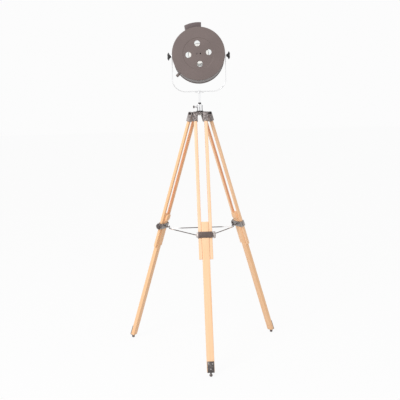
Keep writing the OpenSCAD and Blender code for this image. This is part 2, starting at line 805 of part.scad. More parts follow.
module ball_foot(az) {
    color(black_metal) difference() {
        leg_frame(az) {
            translate([0, 0, -lower_end - shoe_t]) cylinder(r = ball_stud_r, h = ball_stud_len + shoe_t);
            translate([0, 0, -ball_s]) cylinder(r = ball_neck_d / 2, h = ball_s - lower_end - shoe_t);
            translate([0, 0, -ball_s]) sphere(ball_d / 2);
        }
        stand() translate([-2 * foot_r, -2 * foot_r, -2 * ball_d]) cube([4 * foot_r, 4 * foot_r, 2 * ball_d]);
    }
}

hub();
hub_nut();
leg_pivot_bolts();
leg_pivot_nuts();
post_ring();
post_socket();
clamp_boss();
clamp_screw();
yoke_stem();
yoke();
stem_screw();
drum();
back_cover();
holder_screws();
vent_cowl();
bezel();
bezel_screws();
front_glass();
glass_gasket();
heat_shield();
lamp_holder();
bulb_cap();
bulb();
cable_gland();
pivot_studs();
wing_knob(-1);  // left_wing_knob
wing_knob(1);  // right_wing_knob

leg_caps(rear_az);  // rear_leg_caps
cap_screws(rear_az);  // rear_cap_screws
upper_slats(rear_az);  // rear_upper_slats
collar(rear_az);  // rear_collar
collar_eye(rear_az);  // rear_collar_eye
collar_knob(rear_az);  // rear_collar_knob
lower_slat(rear_az);  // rear_lower_slat
stop_block(rear_az);  // rear_stop_block
shoe(rear_az);  // rear_shoe
ball_foot(rear_az);  // rear_ball_foot
stay_rod(rear_az);  // rear_stay_rod

leg_caps(right_az);  // right_leg_caps
cap_screws(right_az);  // right_cap_screws
upper_slats(right_az);  // right_upper_slats
collar(right_az);  // right_collar
collar_eye(right_az);  // right_collar_eye
collar_knob(right_az);  // right_collar_knob
lower_slat(right_az);  // right_lower_slat
stop_block(right_az);  // right_stop_block
shoe(right_az);  // right_shoe
ball_foot(right_az);  // right_ball_foot
stay_rod(right_az);  // right_stay_rod

leg_caps(left_az);  // left_leg_caps
cap_screws(left_az);  // left_cap_screws
upper_slats(left_az);  // left_upper_slats
collar(left_az);  // left_collar
collar_eye(left_az);  // left_collar_eye
collar_knob(left_az);  // left_collar_knob
lower_slat(left_az);  // left_lower_slat
stop_block(left_az);  // left_stop_block
shoe(left_az);  // left_shoe
ball_foot(left_az);  // left_ball_foot
stay_rod(left_az);  // left_stay_rod
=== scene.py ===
"""Finish of the tripod spotlight floor lamp: detailed pieces and materials around the fixed frame."""

import json
import math

import bmesh
import bpy
from bpy.props import FloatProperty, FloatVectorProperty, IntProperty, PointerProperty
from mathutils import Matrix, Vector


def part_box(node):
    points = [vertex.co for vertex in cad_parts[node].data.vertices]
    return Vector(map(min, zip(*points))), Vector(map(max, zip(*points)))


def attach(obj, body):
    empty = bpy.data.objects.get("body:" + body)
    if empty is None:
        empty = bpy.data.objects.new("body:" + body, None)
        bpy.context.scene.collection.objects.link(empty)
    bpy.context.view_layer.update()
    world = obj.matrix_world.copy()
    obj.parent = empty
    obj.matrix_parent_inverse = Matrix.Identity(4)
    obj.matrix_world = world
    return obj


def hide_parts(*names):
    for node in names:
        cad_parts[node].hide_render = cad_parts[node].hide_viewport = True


bl_info = {
    "name": "Tripod spotlight floor lamp",
    "version": (1, 0, 0),
    "blender": (4, 5, 0),
    "location": "3D View > Sidebar > Lamp",
    "description": "Builds the finished pieces of a tripod spotlight floor lamp and its studio",
    "category": "Add Mesh",
}

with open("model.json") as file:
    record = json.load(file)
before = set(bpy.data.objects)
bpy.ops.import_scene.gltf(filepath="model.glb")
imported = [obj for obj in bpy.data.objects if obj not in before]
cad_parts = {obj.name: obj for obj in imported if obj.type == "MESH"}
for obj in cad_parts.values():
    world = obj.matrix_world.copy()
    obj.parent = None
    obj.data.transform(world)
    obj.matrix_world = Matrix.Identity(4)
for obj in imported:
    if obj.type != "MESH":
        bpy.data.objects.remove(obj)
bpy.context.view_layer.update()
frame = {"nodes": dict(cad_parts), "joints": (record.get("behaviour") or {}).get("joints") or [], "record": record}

JOINTS = {joint["name"]: joint for joint in frame["joints"]}
BODIES = frame["record"]["behaviour"]["bodies"]
BODY_OF = {node: body for body, nodes in BODIES.items() for node in nodes}
LEGS = ("rear", "right", "left")

# Legs: s is measured down the leg from its pivot, n out of its face and t sideways
SLAT_WIDTH = 0.015
SLAT_DEPTH = 0.0125
SLAT_START = 0.011
UPPER_SLAT_LENGTH = 0.690
LOWER_SLAT_WIDTH = 0.034
LOWER_SLAT_DEPTH = 0.018
LOWER_SLAT_TOP = 0.527
LOWER_SLAT_LENGTH = 0.681
SLIDE_GAP = 0.0003
STOP_BLOCK_HEIGHT = 0.036
STOP_BLOCK_THICKNESS = 0.009
CAP_WALL = 0.0035
CAP_LENGTH = 0.040
CAP_SCREW_INSET = 0.007
PIVOT_BOLT_RADIUS = 0.003
PIVOT_HEX = 0.010
PIVOT_HEX_HEIGHT = 0.0045
COLLAR_UP = 0.113
COLLAR_WALL = 0.0025
KNOB_RADIUS = 0.016
KNOB_THICKNESS = 0.010
KNOB_SCREW_RADIUS = 0.004
FLUTE_FROM = 0.0128
EYE_REACH = 0.031
EYE_UP = 0.0025
EYE_RADIUS = 0.009
EYE_WIRE = 0.0018
ROD_RADIUS = 0.0022
HOOK_RADIUS = 0.00175
HOOK_PLAY = 0.00045
ROD_DROP = 0.008
HOOK_UP = 0.005
SHOE_HEIGHT = 0.050
SHOE_THICKNESS = 0.003
SHOE_SCREW_PLACES = ((-0.0085, 0.011), (0.0085, 0.011), (0.0, 0.034))
BALL_RADIUS = 0.0075
BALL_NECK_RADIUS = 0.0035
BALL_NECK_LENGTH = 0.0025
BALL_STUD_RADIUS = 0.003
BALL_STUD_LENGTH = 0.025

SLAT_IN = LOWER_SLAT_WIDTH / 2 + SLIDE_GAP
SLAT_MIDDLE = SLAT_IN + SLAT_WIDTH / 2
SLAT_OUT = SLAT_IN + SLAT_WIDTH
CAP_OUT = SLAT_OUT + CAP_WALL
CAP_FACE = SLAT_DEPTH / 2 + CAP_WALL
COLLAR_S = SLAT_START + UPPER_SLAT_LENGTH - COLLAR_UP
EYE_S = COLLAR_S - EYE_UP
BAND_FACE = LOWER_SLAT_DEPTH / 2 + SLIDE_GAP + COLLAR_WALL
BOSS_OUT = SLAT_OUT + COLLAR_WALL + 0.002
LOWER_END = LOWER_SLAT_TOP + LOWER_SLAT_LENGTH
BALL_S = LOWER_END + SHOE_THICKNESS + BALL_NECK_LENGTH + BALL_RADIUS
HOOK_SEAT = EYE_RADIUS - EYE_WIRE - HOOK_RADIUS - HOOK_PLAY
LOOP_RADIUS = EYE_WIRE + HOOK_RADIUS + 0.0006

# Share of the warm wood colour in each leg's upper slats and lower slat: partly the boards' own tone, partly
# painted shade
WARM_WOOD_AND_SHADE = {"rear": (0.3, 0.5), "right": (0.45, 0.6), "left": (0.7, 0.65)}

# Where the stay rods turn bright and dark again, measured from the post's axis
PLATED_FROM = (0.136, 0.152)
PLATED_TO = (0.178, 0.184)

# Pan head screws: radius and height of the head, radius and length of the shank
CAP_SCREW = (0.0034, 0.0018, 0.0017, 0.0078)
SHOE_SCREW = (0.0030, 0.0007, 0.0013, 0.006)
HOLDER_SCREW = (0.0036, 0.0021, 0.0019, 0.0115)
BEZEL_SCREW = (0.0030, 0.0019, 0.0014, 0.0195)

# Post and yoke: heights come from the frame
POST_AXIS = Vector(JOINTS["head_pan"]["pos_m"])
TILT_PIVOT = Vector(JOINTS["head_tilt"]["pos_m"])
POST_RADIUS = 0.013
STEM_RADIUS = 0.006
STEM_HOLE_RADIUS = 0.003
STEM_HOLE_DEPTH = 0.022
STEM_FLANGE_THICKNESS = 0.005
STEM_SCREW_HEAD = 0.004
RUN_GAP = 0.00005
POST_FLOOR = 0.006
HUB_BOLT_RADIUS = 0.004
CLAMP_SCREW_RADIUS = 0.003
CLAMP_DOWN = 0.013
CLAMP_KNOB_THICKNESS = 0.0065
CLAMP_RIDGES = 20
CLAMP_RIDGE_DEPTH = 0.0006
STEM_COLLAR_HEIGHT = 0.007
YOKE_THICKNESS = 0.0045
YOKE_WIDTH = 0.030
YOKE_DROP = 0.166
YOKE_CORNER = 0.060

# Lamp head: y is the place along its axis from the tilt pivots, towards the beam
NOSE_DOWN = math.radians(3.5)
RIM_RADIUS = 0.124
HEAD_DEPTH = 0.185
DRUM_WALL = 0.002
RIM_LIP = 0.0025
RIM_DEPTH = 0.012
BACK_THICKNESS = 0.003
PANEL_RADIUS = 0.073
PANEL_STEP = 0.0012
VENT_RADIUS = 0.0135
VENT_CIRCLE = 0.0475
VENT_TURN = math.radians(6.5)
GLASS_THICKNESS = 0.005
GLASS_RADIUS = 0.112
BEZEL_OPENING = 0.106
BEZEL_THICKNESS = 0.0065
GASKET_THICKNESS = 0.003
FLANGE_THICKNESS = 0.003
SHIELD_RADIUS = 0.0475
SHIELD_WALL = 0.0015
SHIELD_LENGTH = 0.100
HOLDER_RADIUS = 0.017
HOLDER_FLARE = 0.020
BULB_RADIUS = 0.030
BULB_CAP_RADIUS = 0.013
BULB_THREADS = 7
STUD_RADIUS = 0.004
STUD_SHOULDER_RADIUS = 0.010
STUD_PITCH = 0.00125
WING_LENGTH = 0.019
WING_SPAN = 0.038
GLAND_ANGLE = math.radians(224)
GLAND_BORE = 0.00375
GLAND_NECK = 0.0055

BACK_Y = -HEAD_DEPTH / 2 - 0.0025
BACK_IN = BACK_Y + BACK_THICKNESS
FRONT_Y = BACK_Y + HEAD_DEPTH
GLASS_FRONT = FRONT_Y - BEZEL_THICKNESS
GLASS_BACK = GLASS_FRONT - GLASS_THICKNESS
FLANGE_Y = GLASS_BACK - GASKET_THICKNESS
DRUM_RADIUS = RIM_RADIUS - RIM_LIP
DRUM_IN = DRUM_RADIUS - DRUM_WALL
YOKE_IN = RIM_RADIUS + 0.0022
YOKE_OUT = YOKE_IN + YOKE_THICKNESS
HOLDER_MOUTH = BACK_Y + 0.047
HOLDER_SCREW_X = 0.0085
BEZEL_SCREW_CIRCLE = (GLASS_RADIUS + DRUM_IN) / 2
GLAND_Y = BACK_Y + 0.024
GLAND_HEAD = RIM_RADIUS + 0.008
GLAND_END = 0.146

# Studio camera: the place and turn from which the lamp is seen from behind
CAMERA_PLACE = (-0.2063, -3.6030, 1.2132)
CAMERA_HEADING = math.radians(3.043)
CAMERA_PITCH = math.radians(-7.221)
CAMERA_ROLL = math.radians(1.3)
CAMERA_LENS = 68.867

# Studio floor, and the dark cloths round the post: name, turn from the camera's side in degrees,
# distance from the post, half width, lower and upper edge
FLOOR_SIDE = 60.0
FLOOR_WHITE = 0.93
FLAG_COLOUR = (0.03, 0.03, 0.03, 1)
FLAGS = (
    ("flag_middle", -2, 6.0, 1.1, 0.9, 1.20),
    ("flag_left", 129, 3.0, 1.7, 1.0, 1.203),
    ("flag_right", -129, 3.0, 1.7, 1.0, 1.203),
)

# Soft lamp above the camera: its place, the point that it looks at and its size
KEY_PLACE = (-2.4, -3.6, 3.4)
KEY_TARGET = (0, 0, 0.9)
KEY_SIZE = 2.6


# ---- What a user can change ----

def length_property(name, description, default, low, high):
    """A length in metres with its limits."""
    return FloatProperty(name=name, description=description, default=default, min=low, max=high,
                         subtype="DISTANCE", unit="LENGTH", precision=5)


def colour_property(name, description, default):
    """A colour, given as 8-bit sRGB values."""
    linear = tuple(to_linear(value / 255) for value in default)
    return FloatVectorProperty(name=name, description=description, default=linear, min=0.0, max=1.0,
                               subtype="COLOR", size=3)


def to_linear(value):
    """Linear light of an sRGB value between 0 and 1."""
    return value / 12.92 if value <= 0.04045 else ((value + 0.055) / 1.055) ** 2.4


class LampSizes(bpy.types.PropertyGroup):
    """Sizes of edges, dimples and other detail that the finish adds."""

    slat_corner: length_property("Slat corners", "Radius along the edges of the wooden slats",
                                 0.0018, 0.0005, 0.003)
    cast_bevel: length_property("Casting edges", "Width of the worn edges of the cast parts",
                                0.0007, 0.0002, 0.0015)
    yoke_edge: length_property("Yoke edges", "Radius along the edges of the yoke's strap",
                               0.0004, 0.0002, 0.002)
    panel_fillet: length_property("Panel fillet", "Radius where the back cover's panel steps in",
                                  0.0011, 0.0003, 0.0012)
    dimple: length_property("Dimples", "Size of the dimples in the hammered finish",
                            0.0028, 0.001, 0.008)
    flute_depth: length_property("Knob flutes", "Depth of the collar knobs' flutes",
                                 0.0013, 0.0005, 0.002)
    turned_segments: IntProperty(name="Turned segments", description="Faces round a large turned piece",
                                 default=192, min=48, max=256)
    knob_flutes: IntProperty(name="Flutes", description="Number of flutes round a collar knob",
                             default=12, min=6, max=24)


class LampColours(bpy.types.PropertyGroup):
    """Colours of the finishes."""

    wood_light: colour_property("Light wood", "Early wood of the slats", (252, 224, 196))
    wood_dark: colour_property("Dark wood", "Late wood lines of the slats", (240, 188, 142))
    # Warmer wood colour: partly the boards' own tone, partly painted shade
    wood_board: colour_property("Warm wood", "Tone of the warmer boards", (251, 194, 138))
    # Painted shade: deep colour laid on the slat faces that look towards the leg's middle
    wood_deep: colour_property("Deep wood", "Inner faces of the slats", (232, 158, 112))
    paint: colour_property("Paint", "Satin paint of the lamp head", (108, 95, 92))
    cowl_paint: colour_property("Cowl paint", "Satin paint of the vent cowl", (99, 87, 87))
    cast_dark: colour_property("Dark casting", "Hollows of the hammered finish", (84, 76, 75))
    # Painted reflection: darker colour laid on the collars' outer faces
    collar_painted_reflection: colour_property("Collar faces", "Smooth outer faces of the collars", (98, 84, 80))
    cast_light: colour_property("Light casting", "High spots of the hammered finish", (172, 165, 162))
    steel: colour_property("Stay rods", "Dark steel of the stay rods", (108, 100, 98))
    black: colour_property("Black", "Black of the wing knobs, bolts and ring", (38, 35, 35))
    gland: colour_property("Gland", "Taupe of the cable gland", (100, 91, 88))
    inner_paint: colour_property("Inner paint", "Pale paint inside the lamp head", (236, 232, 224))
    chrome: colour_property("Chrome", "Chrome of the yoke and post", (250, 250, 251))


class LampStudio(bpy.types.PropertyGroup):
    """Light of the studio."""

    fill: FloatProperty(name="Fill", description="Brightness of the light from all round", default=0.62,
                        min=0.0, max=3.0)
    key: FloatProperty(name="Key", description="Power of the soft lamp above the camera", default=150.0,
                       min=0.0, max=2000.0, subtype="POWER", unit="POWER")
    background: FloatProperty(name="Background", description="Brightness of the white background",
                              default=0.973, min=0.0, max=1.0)


def sizes():
    """Sizes that the panel shows."""
    return bpy.context.scene.lamp_sizes


def colours():
    """Colours that the panel shows."""
    return bpy.context.scene.lamp_colours


def studio():
    """Light settings that the panel shows."""
    return bpy.context.scene.lamp_studio


# ---- Frames of the lamp's parts ----

def matrix_of(x_axis, y_axis, z_axis, origin):
    """Matrix with these axes at a point."""
    rows = [[x_axis[i], y_axis[i], z_axis[i], origin[i]] for i in range(3)]
    return Matrix(rows + [[0, 0, 0, 1]])


def leg_frame(leg):
    """A leg's own frame at its pivot: x out of its face, y sideways, z up along it."""
    pivot = Vector(JOINTS[leg + "_leg_fold"]["pos_m"])
    along = Vector(JOINTS[leg + "_leg_extend"]["axis"])
    along = along if along.z > 0 else -along
    out = Vector((pivot.x - POST_AXIS.x, pivot.y - POST_AXIS.y, 0)).normalized()
    side = along.cross(out).normalized()
    return matrix_of(side.cross(along), side, along, pivot)


def eye_frame(leg):
    """Level frame at the middle of a leg's eye ring: x out from the post, z up."""
    own = leg_frame(leg)
    centre = own @ Vector((-EYE_REACH, 0, -EYE_S))
    side = own.col[1].to_3d()
    up = Vector((0, 0, 1))
    return matrix_of(side.cross(up), side, up, centre)


def yoke_frame():
    """Turns with the yoke: x along the tilt pivots, z up."""
    across = Vector(JOINTS["head_tilt"]["axis"]).normalized()
    up = Vector((0, 0, 1))
    return matrix_of(across, up.cross(across), up, TILT_PIVOT)


def head_frame():
    """Turns with the head: x along the tilt pivots, y towards the beam."""
    return yoke_frame() @ Matrix.Rotation(-NOSE_DOWN, 4, "X")


def upright(z):
    """Stands a turned shape, whose axis is y, on the post's axis at a height."""
    return Matrix.Translation((POST_AXIS.x, POST_AXIS.y, z)) @ Matrix.Rotation(math.pi / 2, 4, "X")


def aimed(origin, direction):
    """Frame at a point whose y axis has a direction: turned shapes are placed with it."""
    y_axis = Vector(direction).normalized()
    helper = Vector((0, 0, 1)) if abs(y_axis.z) < 0.9 else Vector((1, 0, 0))
    x_axis = y_axis.cross(helper).normalized()
    return matrix_of(x_axis, y_axis, x_axis.cross(y_axis), origin)


# ---- Meshes ----

def clean(mesh, matrix=None, sharp=35.0):
    """Merges doubles, points the faces outwards, places the mesh and shades it smooth up to an angle."""
    work = bmesh.new()
    work.from_mesh(mesh)
    bmesh.ops.remove_doubles(work, verts=work.verts, dist=1e-7)
    bmesh.ops.recalc_face_normals(work, faces=work.faces)
    work.to_mesh(mesh)
    work.free()
    if matrix is not None:
        mesh.transform(matrix)
    mesh.shade_smooth()
    mesh.set_sharp_from_angle(angle=math.radians(sharp))
    mesh.update()
    return mesh


def mesh_from(vertices, faces, matrix=None, sharp=35.0):
    """Clean mesh from points and faces."""
    mesh = bpy.data.meshes.new("piece")
    mesh.from_pydata([tuple(v) for v in vertices], [], faces)
    return clean(mesh, matrix, sharp)


def rounded(points, radius, steps=4, closed=True):
    """Outline with round corners. radius is one number, or one for each point."""
    outline = []
    count = len(points)
    for i, point in enumerate(points):
        corner = Vector(point)
        wanted = radius[i] if isinstance(radius, (list, tuple)) else radius
        if wanted <= 0 or (not closed and i in (0, count - 1)):
            outline.append(corner)
            continue
        before = Vector(points[i - 1]) - corner
        after = Vector(points[(i + 1) % count]) - corner
        half = before.angle(after) / 2
        back = min(wanted / math.tan(half), before.length / 2, after.length / 2)
        inward = (before.normalized() + after.normalized()).normalized()
        centre = corner + inward * (back / math.cos(half))
        start = corner + before.normalized() * back - centre
        end = corner + after.normalized() * back - centre
        first = math.atan2(start.y, start.x)
        sweep = (math.atan2(end.y, end.x) - first + math.pi) % (2 * math.pi) - math.pi
        for k in range(steps + 1):
            angle = first + sweep * k / steps
            outline.append(centre + start.length * Vector((math.cos(angle), math.sin(angle))))
    return outline


def guarded(profile, closed, gap=0.0005):
    """Adds a point near both ends of each long straight stretch, so that its shading stays flat."""
    points = [Vector(point) for point in profile]
    result = []
    for i, point in enumerate(points):
        result.append(point)
        following = points[(i + 1) % len(points)]
        step = following - point
        if (not closed and i == len(points) - 1) or step.length < 8 * gap:
            continue
        if point.x > gap:
            result.append(point + step.normalized() * gap)
        if following.x > gap:
            result.append(following - step.normalized() * gap)
    return result


def turned(profile, matrix=None, segments=None, closed=True, depth_at=None, sharp=35.0, guard=True):
    """Shape turned round the y axis from points (radius, y).
    One that ends on the axis isn't closed. depth_at(angle, radius, y) thins it, as flutes do."""
    segments = segments or sizes().turned_segments
    vertices, rings, faces = [], [], []
    for radius, along in guarded(profile, closed) if guard else profile:
        start = len(vertices)
        if radius < 1e-7:
            vertices.append((0, along, 0))
            rings.append([start] * segments)
            continue
        for k in range(segments):
            angle = 2 * math.pi * k / segments
            here = radius - (depth_at(angle, radius, along) if depth_at else 0)
            vertices.append((here * math.cos(angle), along, here * math.sin(angle)))
        rings.append(list(range(start, start + segments)))
    others = rings[1:] + (rings[:1] if closed else [])
    for one, other in zip(rings, others):
        for k in range(segments):
            following = (k + 1) % segments
            corners = (one[k], one[following], other[following], other[k])
            corners = tuple(dict.fromkeys(corners))
            if len(corners) > 2:
                faces.append(corners)
    return mesh_from(vertices, faces, matrix, sharp)


def tube(path, radii, matrix=None, closed=False, sides=20):
    """Round bar along a path. radii is one number, or one for each point; open ends are rounded."""
    points = [Vector(point) for point in path]
    count = len(points)
    radii = list(radii) if isinstance(radii, (list, tuple)) else [radii] * count
    tangents = []
    for i in range(count):
        ahead = points[(i + 1) % count] if closed else points[min(i + 1, count - 1)]
        behind = points[i - 1] if closed else points[max(i - 1, 0)]
        tangents.append((ahead - behind).normalized())
    normal = tangents[0].orthogonal().normalized()
    rings = []
    for i, tangent in enumerate(tangents):
        normal = (normal - tangent * normal.dot(tangent)).normalized()
        rings.append((points[i], radii[i], normal, tangent.cross(normal)))
    if not closed:
        cap_steps = 5
        for end, sign in ((0, -1), (-1, 1)):
            point, radius, u, v = rings[end]
            outward = tangents[end] * sign
            cap = [(point + outward * radius * math.sin(a), radius * math.cos(a), u, v)
                   for a in (math.pi / 2 * k / (cap_steps + 0.5) for k in range(1, cap_steps + 1))]
            rings = list(reversed(cap)) + rings if sign < 0 else rings + cap
    vertices = []
    for point, radius, u, v in rings:
        for k in range(sides):
            angle = 2 * math.pi * k / sides
            vertices.append(point + radius * (math.cos(angle) * u + math.sin(angle) * v))
    faces = []
    ring_count = len(rings)
    for i in range(ring_count if closed else ring_count - 1):
        here, there = i * sides, (i + 1) % ring_count * sides
        for k in range(sides):
            following = (k + 1) % sides
            faces.append((here + k, here + following, there + following, there + k))
    if not closed:
        faces.append(tuple(range(sides)))
        faces.append(tuple(range((ring_count - 1) * sides, ring_count * sides)))
    return mesh_from(vertices, faces, matrix, 60.0)


def prism(outline, thickness, matrix=None, edge=0.0, steps=3):
    """Flat outline in x and z made solid along y, with rounded edges."""
    vertices = [(x, y, z) for y in (-thickness / 2, thickness / 2) for x, z in outline]
    count = len(outline)
    faces = [tuple(range(count)), tuple(range(count, 2 * count))]
    faces += [(i, (i + 1) % count, (i + 1) % count + count, i + count) for i in range(count)]
    mesh = mesh_from(vertices, faces)
    if edge > 0:
        mesh = with_modifier(mesh, "BEVEL", width=edge, segments=steps, limit_method="ANGLE",
                             angle_limit=math.radians(40), use_clamp_overlap=True)
    return clean(mesh, matrix)


def linked(name, data):
    """New object in the scene."""
    made = bpy.data.objects.new(name, data)
    bpy.context.scene.collection.objects.link(made)
    return made


def with_modifier(mesh, kind, **settings):
    """The mesh with one modifier applied."""
    holder = linked("holder", mesh)
    modifier = holder.modifiers.new(kind.title(), kind)
    for name, value in settings.items():
        setattr(modifier, name, value)
    return evaluated_mesh(holder)


def evaluated_mesh(holder):
    """Plain mesh of an object with its modifiers applied. The object is removed."""
    bpy.context.view_layer.update()
    depsgraph = bpy.context.evaluated_depsgraph_get()
    mesh = bpy.data.meshes.new_from_object(holder.evaluated_get(depsgraph))
    bpy.data.objects.remove(holder)
    return mesh


def joined(*meshes):
    """One mesh that holds several closed surfaces."""
    work = bmesh.new()
    for mesh in meshes:
        work.from_mesh(mesh)
    result = bpy.data.meshes.new("joined")
    work.to_mesh(result)
    work.free()
    result.shade_smooth()
    result.set_sharp_from_angle(angle=math.radians(35))
    return result


def boolean(first, second, operation):
    """Two closed meshes joined, cut or intersected."""
    other = linked("other", second)
    result = with_modifier(first, "BOOLEAN", object=other, operation=operation, solver="EXACT")
    bpy.data.objects.remove(other)
    return clean(result)


def cad_copy(node, bevel, segments=3):
    """Copy of a CAD node's mesh with its flat faces joined and its edges rounded."""
    work = bmesh.new()
    work.from_mesh(frame["nodes"][node].data)
    bmesh.ops.remove_doubles(work, verts=work.verts, dist=2e-6)
    bmesh.ops.dissolve_limit(work, angle_limit=math.radians(1), verts=work.verts, edges=work.edges)
    mesh = bpy.data.meshes.new(node)
    work.to_mesh(mesh)
    work.free()
    if bevel > 0:
        mesh = with_modifier(mesh, "BEVEL", width=bevel, segments=segments, limit_method="ANGLE",
                             angle_limit=math.radians(35), use_clamp_overlap=True, harden_normals=False)
    return clean(mesh)


def piece(name, mesh, material, replaces, body=None):
    """Links a finished piece, parents it to the empty of the body that it rides on and hides the nodes that it
    stands for.
    The material can be given as the name of a finish."""
    nodes = [replaces] if isinstance(replaces, str) else list(replaces)
    mesh.name = name
    mesh.materials.clear()
    mesh.materials.append(as_material(material))
    made = linked(name, mesh)
    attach(made, body or BODY_OF[nodes[0]])
    if nodes:
        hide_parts(*nodes)


# ---- Geometry Nodes ----

def put(tree, kind, inputs=None, **settings):
    """Adds a node: its settings are set, and each input is linked to a socket or given a value."""
    node = tree.nodes.new(kind)
    for name, value in settings.items():
        setattr(node, name, value)
    for socket, value in (inputs or {}).items():
        if isinstance(value, bpy.types.NodeSocket):
            tree.links.new(value, node.inputs[socket])
        else:
            node.inputs[socket].default_value = value
    return node


def output(tree, kind, inputs=None, **settings):
    """First output of a new node."""
    return put(tree, kind, inputs, **settings).outputs[0]


def maths(tree, operation, first, second=None):
    """Result of one Math node."""
    inputs = {0: first} if second is None else {0: first, 1: second}
    return output(tree, "ShaderNodeMath", inputs, operation=operation)


def vector_maths(tree, operation, first, second=None):
    """Result of one Vector Math node: a number for a dot product, a length or a distance."""
    inputs = {0: first}
    if second is not None:
        inputs["Scale" if operation == "SCALE" else 1] = second
    outputs = put(tree, "ShaderNodeVectorMath", inputs, operation=operation).outputs
    return outputs["Value" if operation in ("DOT_PRODUCT", "LENGTH", "DISTANCE") else "Vector"]


def new_tree(name, inputs):
    """Geometry Nodes tree with named inputs, given as name: (socket type, default)."""
    tree = bpy.data.node_groups.new(name, "GeometryNodeTree")
    tree.interface.new_socket("Geometry", in_out="INPUT", socket_type="NodeSocketGeometry")
    tree.interface.new_socket("Geometry", in_out="OUTPUT", socket_type="NodeSocketGeometry")
    for label, (kind, default) in inputs.items():
        socket = tree.interface.new_socket(label, in_out="INPUT", socket_type=kind)
        if default is not None:
            socket.default_value = default
    return tree, tree.nodes.new("NodeGroupInput").outputs


def end_tree(tree, geometry, material):
    """Ends a tree in real geometry with its material."""
    real = output(tree, "GeometryNodeRealizeInstances", {"Geometry": geometry})
    painted_real = output(tree, "GeometryNodeSetMaterial", {"Geometry": real, "Material": material})
    put(tree, "NodeGroupOutput", {"Geometry": painted_real})


def grown(tree, inputs, base=None):
    """Runs a tree on a mesh and returns the result as a plain mesh."""
    holder = linked("holder", base or bpy.data.meshes.new("empty"))
    modifier = holder.modifiers.new("Build", "NODES")
    modifier.node_group = tree
    named = {item.name: item.identifier for item in tree.interface.items_tree
             if item.item_type == "SOCKET" and item.in_out == "INPUT"}
    for name, value in inputs.items():
        modifier[named[name]] = value
    holder.update_tag()
    return evaluated_mesh(holder)


def slat_tree():
    """Slats with rounded edges, side by side, hanging down from the top."""
    tree, given = new_tree("Slats", {
        "Count": ("NodeSocketInt", 2),
        "Spacing": ("NodeSocketFloat", 2 * SLAT_MIDDLE),
        "Depth": ("NodeSocketFloat", SLAT_DEPTH),
        "Width": ("NodeSocketFloat", SLAT_WIDTH),
        "Length": ("NodeSocketFloat", UPPER_SLAT_LENGTH),
        "Top": ("NodeSocketFloat", 0.0),
        "Corner": ("NodeSocketFloat", 0.0018),
        "Material": ("NodeSocketMaterial", None),
    })
    outline = output(tree, "GeometryNodeCurvePrimitiveQuadrilateral",
                     {"Width": given["Depth"], "Height": given["Width"]})
    soft = output(tree, "GeometryNodeFilletCurve",
                  {"Curve": outline, "Radius": given["Corner"], "Count": 4}, mode="POLY")
    bottom = maths(tree, "SUBTRACT", given["Top"], given["Length"])
    high = output(tree, "ShaderNodeCombineXYZ", {"Z": given["Top"]})
    low = output(tree, "ShaderNodeCombineXYZ", {"Z": bottom})
    line = output(tree, "GeometryNodeCurvePrimitiveLine", {"Start": low, "End": high})
    bar = output(tree, "GeometryNodeCurveToMesh",
                 {"Curve": line, "Profile Curve": soft, "Fill Caps": True})
    gaps = maths(tree, "SUBTRACT", given["Count"], 1.0)
    first = maths(tree, "MULTIPLY", maths(tree, "MULTIPLY", gaps, given["Spacing"]), -0.5)
    start = output(tree, "ShaderNodeCombineXYZ", {"Y": first})
    step = output(tree, "ShaderNodeCombineXYZ", {"Y": given["Spacing"]})
    places = output(tree, "GeometryNodeMeshLine",
                    {"Count": given["Count"], "Start Location": start, "Offset": step})
    copies = output(tree, "GeometryNodeInstanceOnPoints", {"Points": places, "Instance": bar})
    end_tree(tree, copies, given["Material"])
    return tree


def facing_rotation(tree):
    """Rotation that turns y to the facing of each point."""
    facing = output(tree, "GeometryNodeInputNamedAttribute", {"Name": "facing"},
                    data_type="FLOAT_VECTOR")
    return output(tree, "FunctionNodeAlignRotationToVector", {"Vector": facing}, axis="Y")


def object_shape(tree, socket):
    """Geometry of the object that an input names."""
    return put(tree, "GeometryNodeObjectInfo", {"Object": socket}).outputs["Geometry"]


def fastener_tree():
    """Copies of a template at the points of a mesh, each turned to its point's facing."""
    tree, given = new_tree("Fasteners", {
        "Template": ("NodeSocketObject", None),
        "Turn": ("NodeSocketFloat", 0.0),
        "Material": ("NodeSocketMaterial", None),
    })
    angle = maths(tree, "MULTIPLY", output(tree, "GeometryNodeInputIndex"), given["Turn"])
    spin = output(tree, "FunctionNodeAxisAngleToRotation", {"Axis": (0, 1, 0), "Angle": angle})
    both = output(tree, "FunctionNodeRotateRotation", {0: facing_rotation(tree), 1: spin},
                  rotation_space="LOCAL")
    copies = output(tree, "GeometryNodeInstanceOnPoints", {
        "Points": given["Geometry"], "Instance": object_shape(tree, given["Template"]), "Rotation": both})
    end_tree(tree, copies, given["Material"])
    return tree


def opening_tree(solver):
    """Cuts copies of a cutter out of a mesh, at the points of another object."""
    tree, given = new_tree(solver.title() + " openings", {
        "Points": ("NodeSocketObject", None),
        "Cutter": ("NodeSocketObject", None),
        "Material": ("NodeSocketMaterial", None),
    })
    copies = output(tree, "GeometryNodeInstanceOnPoints", {
        "Points": object_shape(tree, given["Points"]), "Instance": object_shape(tree, given["Cutter"]),
        "Rotation": facing_rotation(tree)})
    real = output(tree, "GeometryNodeRealizeInstances", {"Geometry": copies})
    cut = output(tree, "GeometryNodeMeshBoolean", {"Mesh 1": given["Geometry"], "Mesh 2": real},
                 operation="DIFFERENCE", solver=solver)
    end_tree(tree, cut, given["Material"])
    return tree


def point_mesh(places):
    """Mesh of loose points from (position, facing) pairs."""
    mesh = bpy.data.meshes.new("points")
    mesh.from_pydata([tuple(position) for position, facing in places], [], [])
    facings = mesh.attributes.new("facing", "FLOAT_VECTOR", "POINT")
    facings.data.foreach_set("vector", [value for position, facing in places for value in facing])
    return mesh


